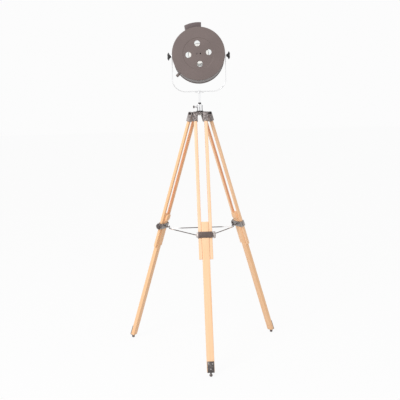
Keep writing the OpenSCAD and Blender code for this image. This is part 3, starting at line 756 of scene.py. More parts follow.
def fasteners(template, places, material, turn=0.9):
    """Copies of a template mesh, whose y axis points out of the surface, at (position, facing) pairs."""
    holder = linked("template", template)
    mesh = grown(shared_tree("fasteners"), {
        "Template": holder, "Turn": turn, "Material": as_material(material)}, point_mesh(places))
    bpy.data.objects.remove(holder)
    return clean(mesh)


def with_openings(mesh, cutter, places, material, solver="FLOAT"):
    """The mesh with copies of a cutter taken out at (position, facing) pairs."""
    cutters = linked("cutter", cutter)
    points = linked("places", point_mesh(places))
    result = grown(shared_tree(solver), {
        "Points": points, "Cutter": cutters, "Material": as_material(material)}, mesh)
    bpy.data.objects.remove(cutters)
    bpy.data.objects.remove(points)
    return clean(result)


TREES = {}


def shared_tree(name):
    """A tree, made when it is first asked for. One for openings has its solver's name."""
    makers = {"slats": slat_tree, "fasteners": fastener_tree}
    if name not in TREES:
        TREES[name] = makers[name]() if name in makers else opening_tree(name)
    return TREES[name]


# ---- Materials ----

def new_material(name, **constants):
    """Principled material: returns it with its tree, its shader and its Object coordinates."""
    material = bpy.data.materials.new(name)
    material.use_nodes = True
    tree = material.node_tree
    shader = next(node for node in tree.nodes if node.type == "BSDF_PRINCIPLED")
    for socket, value in constants.items():
        shader.inputs[socket.replace("_", " ")].default_value = value
    place = put(tree, "ShaderNodeTexCoord").outputs["Object"]
    return material, tree, shader, place


def rgba(colour, factor=1.0):
    """A colour, lighter or darker, as a socket takes it."""
    return tuple(min(1.0, value * factor) for value in colour) + (1.0,)


def tint(colour, factor):
    """One of the lamp's colours, lighter or darker."""
    return rgba(getattr(colours(), colour), factor)[:3]


def ramp(tree, value, stops):
    """Colour ramp through (position, colour) stops."""
    node = put(tree, "ShaderNodeValToRGB", {"Fac": value})
    elements = node.color_ramp.elements
    elements[0].position, elements[0].color = stops[0]
    elements[1].position, elements[1].color = stops[-1]
    for position, colour in stops[1:-1]:
        elements.new(position).color = colour
    return node.outputs["Color"]


def spread(tree, value, low, high, to_low, to_high):
    """Maps one range of a value to another."""
    node = put(tree, "ShaderNodeMapRange", {
        "Value": value, "From Min": low, "From Max": high, "To Min": to_low, "To Max": to_high})
    return node.outputs["Result"]


def noise(tree, place, scale, detail=3.0, roughness=0.5, distortion=0.0):
    """Value of a noise pattern."""
    return put(tree, "ShaderNodeTexNoise", {
        "Vector": place, "Scale": scale, "Detail": detail, "Roughness": roughness,
        "Distortion": distortion}).outputs["Fac"]


def blend(tree, factor, first, second):
    """Mix of two colours, each a socket or a colour."""
    node = put(tree, "ShaderNodeMix", {"Factor": factor}, data_type="RGBA")
    for socket, value in ((6, first), (7, second)):
        if isinstance(value, bpy.types.NodeSocket):
            tree.links.new(value, node.inputs[socket])
        else:
            node.inputs[socket].default_value = value
    return node.outputs[2]


def bump(tree, shader, height, distance, strength=1.0, before=None):
    """Bump on the shader, on top of another one where that is given."""
    inputs = {"Height": height, "Distance": distance, "Strength": strength}
    if before is not None:
        inputs["Normal"] = before
    normal = put(tree, "ShaderNodeBump", inputs).outputs["Normal"]
    tree.links.new(normal, shader.inputs["Normal"])
    return normal


def dress(tree, shader, colour, roughness):
    """Links a colour and a roughness to the shader."""
    tree.links.new(colour, shader.inputs["Base Color"])
    tree.links.new(roughness, shader.inputs["Roughness"])


def stretched(tree, place, scale):
    """Coordinates scaled by axis, so that a pattern runs along the smallest scale."""
    return output(tree, "ShaderNodeMapping", {"Vector": place, "Scale": scale})


def in_frame(tree, place, matrix):
    """Coordinates as seen from a frame."""
    back = matrix.inverted()
    return output(tree, "ShaderNodeMapping", {
        "Vector": place, "Rotation": back.to_3x3().to_euler("XYZ"), "Location": back.translation})


def facing_share(tree, direction):
    """How far each face looks in a direction, from -1 to 1."""
    aim = put(tree, "ShaderNodeTexCoord").outputs["Normal"]
    return vector_maths(tree, "DOT_PRODUCT", aim, direction)


def worn_edges(tree, base, low, high, most, colour):
    """Another colour on the edges that hands rub."""
    edges = put(tree, "ShaderNodeNewGeometry").outputs["Pointiness"]
    return blend(tree, spread(tree, edges, low, high, 0.0, most), base, colour)


def wood(name, leg, shift, tone):
    """Pale straight-grained wood, its grain along one leg. The faces that look at the leg's middle get the deep
    wood colour as painted shade, and tone says how much of the warmer wood colour the board has, partly its own
    tone and partly painted shade."""
    material, tree, shader, place = new_material(
        name, Specular_IOR_Level=0.35, Coat_Weight=0.12, Coat_Roughness=0.35)
    still = in_frame(tree, place, leg_frame(leg))
    own = vector_maths(tree, "ADD", still, (0, 0, shift))
    drift = put(tree, "ShaderNodeTexNoise", {
        "Vector": stretched(tree, own, (14, 14, 1.1)), "Scale": 1.0, "Detail": 2.0}).outputs["Color"]
    bent = vector_maths(tree, "ADD", own, vector_maths(tree, "SCALE", drift, 0.020))
    fibres = noise(tree, stretched(tree, bent, (520, 520, 9)), 1.0, 3.0)
    rings = noise(tree, stretched(tree, bent, (170, 150, 1.2)), 1.0, 1.0, 0.4)
    pores = noise(tree, stretched(tree, own, (1500, 1500, 60)), 1.0, 1.0)
    patches = noise(tree, own, 9.0, 1.0)
    light, dark = colours().wood_light, colours().wood_dark
    base = ramp(tree, rings, [
        (0.30, rgba(dark, 1.02)), (0.46, rgba(light, 0.98)), (0.70, rgba(light, 1.02))])
    fibred = blend(tree, spread(tree, fibres, 0.35, 0.75, 0.0, 0.30), base, rgba(dark))
    pored = blend(tree, spread(tree, pores, 0.62, 0.80, 0.0, 0.26), fibred, rgba(dark, 0.70))
    toned = blend(tree, spread(tree, patches, 0.35, 0.65, 0.0, 0.20), pored, rgba(dark, 1.05))
    # Warmer wood colour laid over the board: partly its own tone, partly painted shade
    board = blend(tree, tone, toned, rgba(colours().wood_board))
    # Painted shade: faces that look towards the leg's middle, between the slats, get the deep wood colour
    half = maths(tree, "SIGN", put(tree, "ShaderNodeSeparateXYZ", {0: still}).outputs["Y"])
    inward = maths(tree, "MULTIPLY", facing_share(tree, leg_frame(leg).col[1].to_3d()), half)
    shaded = blend(tree, spread(tree, inward, -0.8, -0.3, 0.75, 0.0), board, rgba(colours().wood_deep))
    dress(tree, shader, shaded, spread(tree, fibres, 0.3, 0.7, 0.42, 0.56))
    bump(tree, shader, fibres, 0.00012, 0.7)
    return material


def hammered(name, dark=None, light=None, rough=0.38, leg=None):
    """Cast metal with a hammered finish: smooth dimples, worn light on the high spots.
    With a leg given, the faces that look out along it get a smoother, darker colour as a painted reflection, and
    the ends a lighter colour as a painted highlight."""
    material, tree, shader, place = new_material(name, Metallic=0.75, Specular_IOR_Level=0.5)
    dark = dark or colours().cast_dark
    light = light or colours().cast_light
    warp = put(tree, "ShaderNodeTexNoise", {
        "Vector": place, "Scale": 180.0, "Detail": 1.0}).outputs["Color"]
    moved = vector_maths(tree, "ADD", place, vector_maths(tree, "SCALE", warp, 0.0022))
    cells = put(tree, "ShaderNodeTexVoronoi", {
        "Vector": moved, "Scale": 1.0 / sizes().dimple, "Smoothness": 0.6},
        feature="SMOOTH_F1").outputs["Distance"]
    grain = noise(tree, place, 1400.0, 2.0)
    cloud = noise(tree, place, 120.0, 2.0)
    worn = maths(tree, "MULTIPLY", spread(tree, cells, 0.15, 0.55, 0.2, 0.8),
                 spread(tree, cloud, 0.35, 0.62, 0.3, 0.9))
    base = ramp(tree, worn, [(0.0, rgba(dark)), (0.35, rgba(dark, 1.25)), (0.9, rgba(light))])
    rubbed = worn_edges(tree, base, 0.52, 0.60, 0.65, rgba(light))
    if leg:
        own = leg_frame(leg)
        # Painted reflection: faces that look out along the leg get the darker collar colour
        outward = spread(tree, facing_share(tree, own.col[0].to_3d()), 0.6, 0.9, 0.0, 0.85)
        rubbed = blend(tree, outward, rubbed, rgba(colours().collar_painted_reflection))
        # Painted highlight: the collar's ends, beyond the slats, get a lighter colour
        apart = vector_maths(tree, "ADD", place, -own.translation)
        reach = maths(tree, "ABSOLUTE", vector_maths(tree, "DOT_PRODUCT", apart, own.col[1].to_3d()))
        ends = spread(tree, reach, SLAT_OUT + 0.0002, SLAT_OUT + 0.0012, 0.0, 0.7)
        rubbed = blend(tree, ends, rubbed, rgba(light, 1.05))
    dress(tree, shader, rubbed, spread(tree, grain, 0.3, 0.7, rough - 0.07, rough + 0.08))
    fine = bump(tree, shader, grain, 0.00003, 0.5)
    bump(tree, shader, cells, 0.0004, 0.5, fine)
    return material


def inside_head(tree, place):
    """1 on the faces that close in the space between the back cover and the front glass."""
    still = in_frame(tree, place, head_frame())
    away = vector_maths(tree, "LENGTH", vector_maths(tree, "MULTIPLY", still, (1, 0, 1)))
    along = put(tree, "ShaderNodeSeparateXYZ", {0: still}).outputs["Y"]
    within = spread(tree, away, DRUM_IN + 0.0004, DRUM_IN + 0.0008, 1.0, 0.0)
    behind = spread(tree, along, BACK_IN - 0.0004, BACK_IN - 0.0001, 0.0, 1.0)
    return maths(tree, "MULTIPLY", within, behind)


def painted(name, colour, rough=0.44, pale_inside=False):
    """Satin paint on sheet metal: faint orange peel, dust-fine grain and slow changes of tone."""
    material, tree, shader, place = new_material(name, Specular_IOR_Level=0.45, Metallic=0.12)
    slow = noise(tree, place, 11.0, 2.0)
    fine = noise(tree, place, 900.0, 2.0)
    peel = noise(tree, place, 420.0, 1.0)
    base = ramp(tree, slow, [(0.35, rgba(colour, 0.95)), (0.65, rgba(colour, 1.05))])
    specked = blend(tree, spread(tree, fine, 0.35, 0.70, 0.0, 0.25), base, rgba(colour, 1.18))
    if pale_inside:
        shown = blend(tree, inside_head(tree, place), specked, rgba(colours().inner_paint))
    else:
        shown = worn_edges(tree, specked, 0.53, 0.62, 0.35, rgba(colour, 1.6))
    dress(tree, shader, shown, spread(tree, fine, 0.3, 0.7, rough - 0.05, rough + 0.06))
    bump(tree, shader, peel, 0.00003, 0.6)
    return material


def polished(name, colour, rough=0.06, brushed=0.0):
    """Bright plated or bare metal, with faint wipe marks. The light that it throws on others is soft."""
    material, tree, shader, place = new_material(name, Metallic=1.0)
    marks = noise(tree, stretched(tree, place, (60, 60, 240)), 1.0, 4.0, 0.6)
    cloud = noise(tree, place, 30.0, 2.0)
    tone = ramp(tree, cloud, [(0.35, rgba(colour, 0.97)), (0.65, rgba(colour, 1.0))])
    thrown = maths(tree, "MULTIPLY", put(tree, "ShaderNodeLightPath").outputs["Is Diffuse Ray"], 0.6)
    gloss = spread(tree, marks, 0.3, 0.7, rough * 0.7, rough * 1.4)
    dress(tree, shader, tone, maths(tree, "MAXIMUM", gloss, thrown))
    bump(tree, shader, marks, 0.00001 + brushed, 0.12)
    return material


def rod_steel(name):
    """Dark drawn steel of the stay rods, plated bright for a stretch before each hook."""
    material, tree, shader, place = new_material(name, Metallic=1.0)
    level = vector_maths(tree, "MULTIPLY", place, (1, 1, 0))
    away = vector_maths(tree, "DISTANCE", level, (POST_AXIS.x, POST_AXIS.y, 0))
    begin = spread(tree, away, PLATED_FROM[0], PLATED_FROM[1], 0.0, 1.0)
    until = spread(tree, away, PLATED_TO[0], PLATED_TO[1], 1.0, 0.0)
    plated = maths(tree, "MULTIPLY", begin, until)
    drawn = noise(tree, place, 500.0, 2.0)
    dark = ramp(tree, drawn, [(0.3, rgba(colours().steel, 0.8)), (0.7, rgba(colours().steel, 1.1))])
    dress(tree, shader, blend(tree, plated, dark, (0.96, 0.96, 0.97, 1)),
          spread(tree, plated, 0.0, 1.0, 0.36, 0.32))
    bump(tree, shader, drawn, 0.00002, 0.4)
    return material


def blackened(name, colour, rough=0.36, metallic=0.6):
    """Black metal or moulded plastic with a fine texture and greyer edges."""
    material, tree, shader, place = new_material(name, Metallic=metallic, Specular_IOR_Level=0.5)
    fine = noise(tree, place, 1100.0, 2.0)
    cloud = noise(tree, place, 90.0, 2.0)
    base = ramp(tree, cloud, [(0.35, rgba(colour, 0.8)), (0.65, rgba(colour, 1.25))])
    rubbed = worn_edges(tree, base, 0.53, 0.62, 0.5, rgba(colour, 4.0))
    dress(tree, shader, rubbed, spread(tree, fine, 0.3, 0.7, rough - 0.06, rough + 0.08))
    bump(tree, shader, fine, 0.00004, 0.6)
    return material


def enamelled(name, colour, rough=0.25):
    """White enamel or glazed porcelain."""
    material, tree, shader, place = new_material(
        name, Specular_IOR_Level=0.5, Coat_Weight=0.3, Coat_Roughness=0.1)
    slow = noise(tree, place, 60.0, 2.0)
    pits = noise(tree, place, 800.0, 1.0)
    dress(tree, shader, ramp(tree, slow, [(0.35, rgba(colour, 0.95)), (0.65, rgba(colour, 1.0))]),
          spread(tree, pits, 0.3, 0.7, rough - 0.05, rough + 0.05))
    bump(tree, shader, slow, 0.00008, 0.4)
    return material


def clear_glass(name):
    """Clear pane with faint smears."""
    material, tree, shader, place = new_material(name, IOR=1.5, Transmission_Weight=1.0, Roughness=0.0)
    smears = noise(tree, place, 26.0, 3.0)
    dress(tree, shader, ramp(tree, smears, [(0.3, (0.97, 1.0, 0.99, 1)), (0.7, (0.99, 1.0, 1.0, 1))]),
          spread(tree, smears, 0.45, 0.75, 0.0, 0.05))
    return material


def frosted_glass(name):
    """Warm white bulb glass with a fine grain."""
    material, tree, shader, place = new_material(name, IOR=1.45, Transmission_Weight=0.25)
    cloud = noise(tree, place, 140.0, 2.0)
    dress(tree, shader, ramp(tree, cloud, [(0.3, (0.90, 0.88, 0.82, 1)), (0.7, (0.95, 0.94, 0.89, 1))]),
          spread(tree, cloud, 0.3, 0.7, 0.28, 0.36))
    bump(tree, shader, noise(tree, place, 2200.0, 1.0), 0.00002, 0.3)
    return material


FINISHES = {}


def finish(name):
    """The material of a finish, made when it is first asked for."""
    makers = {
        "casting": lambda: hammered("Hammered casting"),
        "cap casting": lambda: hammered("Cap casting", tint("cast_dark", 1.25), tint("cast_light", 1.3)),
        # Lighter copy of the knob metal for the rear knob: painted highlight
        "bright knob": lambda: hammered("Bright knob metal", tint("cast_light", 0.8),
                                        tint("cast_light", 1.8), 0.22),
        "shoe casting": lambda: hammered("Shoe casting", tint("cast_dark", 0.5), tint("cast_light", 0.55)),
        "knob metal": lambda: hammered("Knob metal", rough=0.27),
        "dull steel": lambda: polished("Dull steel", (0.36, 0.34, 0.33), 0.42, 0.00001),
        "paint": lambda: painted("Taupe paint", colours().paint),
        "head paint": lambda: painted("Head paint", colours().paint, pale_inside=True),
        "cowl paint": lambda: painted("Cowl paint", colours().cowl_paint, 0.5),
        "chrome": lambda: polished("Chrome", colours().chrome),
        "rod steel": lambda: rod_steel("Rod steel"),
        "nickel": lambda: polished("Nickel", (0.70, 0.68, 0.64), 0.22, 0.00001),
        "black metal": lambda: blackened("Black metal", colours().black),
        "black plastic": lambda: blackened("Black plastic", colours().black, 0.42, 0.0),
        "gland plastic": lambda: blackened("Gland plastic", colours().gland, 0.45, 0.0),
        "rubber": lambda: blackened("Rubber", (0.015, 0.015, 0.015), 0.7, 0.0),
        "white enamel": lambda: enamelled("White enamel", (0.86, 0.85, 0.81), 0.35),
        "porcelain": lambda: enamelled("Porcelain", (0.88, 0.86, 0.80)),
        "clear glass": lambda: clear_glass("Clear glass"),
        "frosted glass": lambda: frosted_glass("Frosted glass"),
    }
    if name not in FINISHES:
        FINISHES[name] = makers[name]()
    return FINISHES[name]


def as_material(material):
    """A material itself, or the one of a finish's name."""
    return finish(material) if isinstance(material, str) else material


# ---- Fastener templates: y points out of the surface ----

def pan_head_screw(head_radius, head_height, shank_radius, shank_length):
    """Pan head screw with a cross recess, its head's seat at the origin."""
    profile = [(0, head_height), (head_radius * 0.55, head_height * 0.93),
               (head_radius * 0.85, head_height * 0.66), (head_radius, head_height * 0.25),
               (head_radius, 0), (shank_radius, 0), (shank_radius, -shank_length + shank_radius * 0.5),
               (shank_radius * 0.5, -shank_length), (0, -shank_length)]
    body = turned(profile, segments=32, closed=False)
    reach, slit, deep = head_radius * 0.55, head_radius * 0.13, head_height * 0.55
    sides = [(0, 1, 2, 3), (4, 5, 6, 7), (0, 1, 5, 4), (1, 2, 6, 5), (2, 3, 7, 6), (3, 0, 4, 7)]
    for wide, tall in ((reach, slit), (slit, reach)):
        corners = [(x, y, z) for y in (head_height - deep, head_height * 1.5)
                   for x, z in ((-wide, -tall), (wide, -tall), (wide, tall), (-wide, tall))]
        body = boolean(body, mesh_from(corners, sides), "DIFFERENCE")
    return body


def flats(corner_radius):
    """Distance between the flats of a hexagon with this corner radius."""
    return 2 * corner_radius * math.cos(math.radians(30))


def hex_block(across_flats, height, bore=0.0, both_ends=False):
    """Hexagon head or nut from y = 0 to its height, with turned chamfers."""
    corner = across_flats / 2 / math.cos(math.radians(30))
    angles = [math.radians(60 * k) for k in range(6)]
    hexagon = [(corner * math.cos(angle), corner * math.sin(angle)) for angle in angles]
    block = prism(hexagon, height, Matrix.Translation((0, height / 2, 0)))
    chamfer = corner - across_flats / 2 * 0.96
    low = chamfer * 0.5 if both_ends else 0.0
    wide = corner * 1.01
    shape = [(0, -0.0001 if not both_ends else 0), (corner - chamfer * (1 if both_ends else 0), 0),
             (wide, low + 0.00001), (wide, height - chamfer * 0.5), (corner - chamfer, height),
             (0, height)]
    block = boolean(block, turned(shape, segments=48, closed=False), "INTERSECT")
    if bore > 0:
        drill = turned([(0, -0.001), (bore, -0.001), (bore, height + 0.001), (0, height + 0.001)],
                       segments=32, closed=False)
        block = boolean(block, drill, "DIFFERENCE")
    return block


def cylinder_cutter(radius, start, end, flare=0.0, segments=48):
    """Drill along y, with an optional flare at its start that leaves a chamfer."""
    wide = radius + flare
    profile = [(0, start), (wide, start), (wide, start + 1e-6), (radius, start + flare * 1.6 + 2e-6),
               (radius, end), (0, end)]
    return turned(profile, segments=segments, closed=False)


def round_places(count, radius, y, first, facing=Vector((0, 1, 0))):
    """(position, facing) pairs evenly round the y axis, the first one at an angle."""
    angles = [first + 2 * math.pi * k / count for k in range(count)]
    return [(Vector((radius * math.cos(angle), y, radius * math.sin(angle))), facing)
            for angle in angles]


# ---- Legs ----

def add_slats(leg):
    """Upper slats, lower slat and stop block of one leg."""
    own = leg_frame(leg)
    shift = 0.7 * LEGS.index(leg)
    upper = grown(shared_tree("slats"), {
        "Count": 2, "Spacing": 2 * SLAT_MIDDLE, "Depth": SLAT_DEPTH, "Width": SLAT_WIDTH,
        "Length": UPPER_SLAT_LENGTH, "Top": -SLAT_START, "Corner": sizes().slat_corner})
    lower = grown(shared_tree("slats"), {
        "Count": 1, "Spacing": 0.0, "Depth": LOWER_SLAT_DEPTH, "Width": LOWER_SLAT_WIDTH,
        "Length": LOWER_SLAT_LENGTH, "Top": -LOWER_SLAT_TOP, "Corner": sizes().slat_corner})
    upper_wood = wood(leg + " upper slat wood", leg, shift, WARM_WOOD_AND_SHADE[leg][0])
    lower_wood = wood(leg + " lower slat wood", leg, shift + 3.3, WARM_WOOD_AND_SHADE[leg][1])
    piece(leg + "_upper_slats_wood", clean(upper, own), upper_wood, leg + "_upper_slats")
    piece(leg + "_lower_slat_wood", clean(lower, own), lower_wood, leg + "_lower_slat")
    add_stop_block(leg, lower_wood)


def add_stop_block(leg, material):
    """Block whose inner face slopes back to the slat at its lower end."""
    height, thick = STOP_BLOCK_HEIGHT, STOP_BLOCK_THICKNESS
    top = -LOWER_SLAT_TOP
    back = -LOWER_SLAT_DEPTH / 2
    outline = rounded([(back, top), (back - thick, top), (back - thick, top - height * 0.62),
                       (back - thick * 0.35, top - height), (back, top - height)],
                      [0.0003, 0.0025, 0.005, 0.0012, 0.0003], 5)
    mesh = prism(outline, LOWER_SLAT_WIDTH - 0.003, leg_frame(leg), edge=0.0008)
    piece(leg + "_stop_block_wood", mesh, material, leg + "_stop_block")


def add_castings(leg):
    """Caps, collar and shoe of one leg, from their solids. The side legs' collars get lighter hollows as a painted
    highlight.
    """
    # Painted highlight: the side legs' collars get lighter hollows than the rear one
    side_collar_highlight = None if leg == "rear" else tint("cast_light", 0.5)
    collar = hammered(leg + " collar casting", side_collar_highlight, leg=leg)
    for part, material in (("leg_caps", "cap casting"), ("collar", collar), ("shoe", "shoe casting")):
        node = leg + "_" + part
        piece(node + "_cast", cad_copy(node, sizes().cast_bevel), material, node)


def add_leg_screws(leg):
    """Screws of the caps and of the shoe."""
    own = leg_frame(leg)
    out = own.col[0].to_3d()
    caps = [(own @ Vector((CAP_FACE, side * SLAT_MIDDLE, -down)), out)
            for side in (-1, 1) for down in (SLAT_START + CAP_SCREW_INSET, CAP_LENGTH - CAP_SCREW_INSET)]
    screws = fasteners(pan_head_screw(*CAP_SCREW), caps, "dull steel")
    piece(leg + "_cap_screw_heads", screws, "dull steel", leg + "_cap_screws")
    face = LOWER_SLAT_DEPTH / 2 + SHOE_THICKNESS
    top = LOWER_END - (SHOE_HEIGHT - SHOE_THICKNESS)
    shoe = [(own @ Vector((face, side, -(top + down))), out) for side, down in SHOE_SCREW_PLACES]
    screws = fasteners(pan_head_screw(*SHOE_SCREW), shoe, "dull steel", 0.7)
    piece(leg + "_shoe_screw_heads", screws, "dull steel", (), body=leg + "_lower_leg")


def add_ball_foot(leg):
    """Ball on its neck, flat where it stands on the floor."""
    angles = [math.radians(degrees) for degrees in range(35, 180, 6)]
    stud_top = -LOWER_END + BALL_STUD_LENGTH
    neck_top = -(LOWER_END + SHOE_THICKNESS)
    profile = [(0, stud_top), (BALL_STUD_RADIUS, stud_top - 0.0008), (BALL_STUD_RADIUS, neck_top),
               (BALL_NECK_RADIUS, neck_top), (BALL_NECK_RADIUS, neck_top - 0.0016)]
    profile += [(BALL_RADIUS * math.sin(a), -BALL_S + BALL_RADIUS * math.cos(a)) for a in angles]
    profile += [(0, -BALL_S - BALL_RADIUS)]
    mesh = turned(profile, leg_frame(leg) @ Matrix.Rotation(math.pi / 2, 4, "X"), 64, closed=False)
    for vertex in mesh.vertices:
        vertex.co.z = max(vertex.co.z, 0.0)
    piece(leg + "_ball_foot_turned", clean(mesh), "knob metal", leg + "_ball_foot")


def add_collar_knob(leg):
    """Fluted knob with a dished face and a raised middle, on its screw."""
    count, deep = sizes().knob_flutes, sizes().flute_depth
    start = BOSS_OUT + SLIDE_GAP
    end = start + KNOB_THICKNESS
    edge = KNOB_RADIUS - 0.0005
    rim = rounded([(KNOB_SCREW_RADIUS, start), (edge, start), (KNOB_RADIUS, start + KNOB_THICKNESS / 2),
                   (edge, end), (0.0125, end), (0.0105, end - 0.002), (0.0078, end - 0.0015),
                   (0.0068, end + 0.0015), (0.0030, end + 0.0015), (0.0024, end + 0.0006)],
                  [0, 0.0016, 0.004, 0.0016, 0.0008, 0.0012, 0.0006, 0.0006, 0.0004, 0.0002], 4,
                  closed=False)
    tip = SLAT_OUT + SLIDE_GAP
    profile = [Vector((0, tip)), Vector((KNOB_SCREW_RADIUS, tip))] + rim + [Vector((0, end + 0.0006))]

    def flute(angle, radius, along):
        wave = max(0.0, math.cos(count * angle)) ** 1.5
        outer = max(0.0, (radius - FLUTE_FROM) / (KNOB_RADIUS - FLUTE_FROM))
        return deep * wave * outer

    place = leg_frame(leg) @ Matrix.Translation((0, 0, -COLLAR_S))
    mesh = turned(profile, place, 16 * count, closed=False, depth_at=flute)
    # Painted highlight: the rear leg's knob gets a lighter copy of the knob metal
    material = "bright knob" if leg == "rear" else "knob metal"
    piece(leg + "_collar_knob_turned", mesh, material, leg + "_collar_knob")


def circle_path(radius, steps, plane):
    """Points of a circle, level or standing up across x."""
    points = []
    for k in range(steps):
        angle = 2 * math.pi * k / steps
        across, along = radius * math.cos(angle), radius * math.sin(angle)
        points.append((across, along, 0) if plane == "xy" else (along, 0, across))
    return points


def add_eye(leg):
    """Shank with its round plate, and the ring that a stay rod hooks into."""
    plate = BAND_FACE + 0.002
    ring_edge = EYE_REACH - EYE_RADIUS + 0.0004
    profile = rounded([(0, BAND_FACE), (0.0055, BAND_FACE), (0.0055, plate), (0.0026, plate + 0.001),
                       (0.0024, ring_edge - 0.002), (0.0019, ring_edge), (0, ring_edge)],
                      [0, 0, 0.0006, 0.001, 0.001, 0.001, 0], 3, closed=False)
    inward = leg_frame(leg) @ aimed((0, 0, -EYE_S - 0.0015), (-1, 0, 0))
    shank = turned(profile, inward, 40, closed=False)
    ring = tube(circle_path(EYE_RADIUS, 72, "xy"), EYE_WIRE, eye_frame(leg), closed=True)
    piece(leg + "_collar_eye_ring", joined(shank, ring), "knob metal", leg + "_collar_eye")


def bend_points(points, radius, steps=6):
    """Path with round bends at its inner points."""
    path = [Vector(points[0])]
    for before, corner, after in zip(points, points[1:], points[2:]):
        corner = Vector(corner)
        one = (Vector(before) - corner).normalized()
        other = (Vector(after) - corner).normalized()
        for k in range(steps + 1):
            share = k / steps
            path.append(corner + one * radius * (1 - share) ** 2 + other * radius * share ** 2)
    return path + [Vector(points[-1])]


def add_stay_rod(leg):
    """Rod with a closed loop in its own leg's ring and an open hook in the next one's."""
    following = LEGS[(LEGS.index(leg) + 1) % len(LEGS)]
    side = (eye_frame(leg).translation - eye_frame(following).translation).length
    length = side - EYE_RADIUS - HOOK_SEAT
    turn = Matrix.Rotation(math.radians(150), 4, "Z")
    place = eye_frame(leg) @ turn @ Matrix.Translation((EYE_RADIUS, 0, 0))
    corners = [(0, 0, -LOOP_RADIUS - 0.0002), (0, 0, -ROD_DROP), (length, 0, -ROD_DROP),
               (length, 0, HOOK_UP)]
    path = bend_points(corners, 0.0030)
    radii = [ROD_RADIUS if 0.004 < point.x < length - 0.004 else HOOK_RADIUS for point in path]
    middle = path.index(next(point for point in path if point.x > 0.01))
    steps = (0.008, 0.010, length - 0.010, length - 0.008)
    path[middle:middle] = [Vector((x, 0, -ROD_DROP)) for x in steps]
    radii[middle:middle] = [HOOK_RADIUS, ROD_RADIUS, ROD_RADIUS, HOOK_RADIUS]
    loop = tube(circle_path(LOOP_RADIUS, 48, "xz"), HOOK_RADIUS, place, closed=True)
    piece(leg + "_stay_rod_bent", joined(loop, tube(path, radii, place)), "rod steel",
          leg + "_stay_rod")


# ---- Hub and post ----

def add_hub():
    """Hub plate and the nut under it."""
    piece("hub_cast", cad_copy("hub", sizes().cast_bevel), "casting", "hub")
    piece("hub_nut_turned", cad_copy("hub_nut", 0.0004, 2), "nickel", "hub_nut")


def add_pivot_bolts():
    """Hexagon bolts through the caps, and their nuts."""
    heads, nuts, shafts = [], [], []
    seat = CAP_OUT + SLIDE_GAP
    tip = -seat - PIVOT_HEX_HEIGHT - 0.001
    profile = rounded([(0, tip), (PIVOT_BOLT_RADIUS, tip), (PIVOT_BOLT_RADIUS, seat), (0, seat)],
                      [0, 0.0005, 0, 0], 3, closed=False)
    for leg in LEGS:
        own = leg_frame(leg)
        side = own.col[1].to_3d()
        heads.append((own @ Vector((0, seat, 0)), side))
        nuts.append((own @ Vector((0, -seat, 0)), -side))
        shafts.append(turned(profile, own, 32, closed=False))
    head = hex_block(PIVOT_HEX, PIVOT_HEX_HEIGHT)
    nut = hex_block(PIVOT_HEX, PIVOT_HEX_HEIGHT, PIVOT_BOLT_RADIUS + 0.00002, both_ends=True)
    bolts = joined(fasteners(head, heads, "black metal", 0.4), *shafts)
    piece("leg_pivot_bolts_black", bolts, "black metal", "leg_pivot_bolts")
    piece("leg_pivot_nuts_black", fasteners(nut, nuts, "black metal", 0.5), "black metal",
          "leg_pivot_nuts")


def add_post():
    """Black ring, chrome socket, clamp boss and clamp screw."""
    low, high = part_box("post_ring")
    radius, height = (high.x - low.x) / 2, high.z - low.z
    ring = rounded([(HUB_BOLT_RADIUS, 0), (radius, 0), (radius, height), (HUB_BOLT_RADIUS, height)],
                   [0, 0.0012, 0.0018, 0], 5)
    piece("post_ring_black", turned(ring, upright(low.z), 96), "black metal", "post_ring")
    low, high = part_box("post_socket")
    height, bore, shoulder = high.z - low.z, STEM_RADIUS + RUN_GAP, 0.003
    socket = rounded([(HUB_BOLT_RADIUS, 0), (POST_RADIUS, 0), (POST_RADIUS, height - shoulder),
                      (POST_RADIUS - shoulder, height), (bore, height), (bore, POST_FLOOR),
                      (HUB_BOLT_RADIUS, POST_FLOOR)], [0, 0.0004, 0.0012, 0.0008, 0.0004, 0, 0], 4)
    side = high.z - CLAMP_DOWN
    drill = cylinder_cutter(CLAMP_SCREW_RADIUS + RUN_GAP, 0.0, 0.02)
    places = [(Vector((POST_AXIS.x, POST_AXIS.y, side)), Vector((-1, 0, 0)))]
    mesh = with_openings(turned(socket, upright(low.z), 96), drill, places, "chrome")
    piece("post_socket_chrome", mesh, "chrome", "post_socket")
    piece("clamp_boss_chrome", cad_copy("clamp_boss", 0.0004), "chrome", "clamp_boss")
    add_clamp_screw(side)


def add_clamp_screw(height):
    """Screw with a ridged knob at the post's left side."""
    low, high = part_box("clamp_screw")
    tip, end, knob_start = -high.x, -low.x, -low.x - CLAMP_KNOB_THICKNESS
    knob_radius = (high.z - low.z) / 2
    edge = knob_radius - 0.001
    profile = rounded([(0, knob_start), (edge, knob_start), (knob_radius, knob_start + 0.001),
                       (knob_radius, end - 0.001), (edge, end), (0, end)],
                      [0, 0.0003, 0.0004, 0.0004, 0.0003, 0], 3, closed=False)

    def ridge(angle, radius, along):
        outer = max(0.0, (radius - knob_radius + 0.0011) / 0.0011)
        return CLAMP_RIDGE_DEPTH * outer * (0.5 + 0.5 * math.cos(CLAMP_RIDGES * angle))

    place = aimed((POST_AXIS.x, POST_AXIS.y, height), (-1, 0, 0))
    knob = turned(profile, place, 8 * CLAMP_RIDGES, closed=False, depth_at=ridge)
    piece("clamp_screw_knob", knob, "knob metal", "clamp_screw")
    shank = rounded([(0, tip), (CLAMP_SCREW_RADIUS, tip), (CLAMP_SCREW_RADIUS, knob_start + 0.001),
                     (0, knob_start + 0.001)], [0, 0.0006, 0, 0], 3, closed=False)
    piece("clamp_screw_shank", turned(shank, place, 48, closed=False), "chrome", "clamp_screw")


# ---- Yoke ----

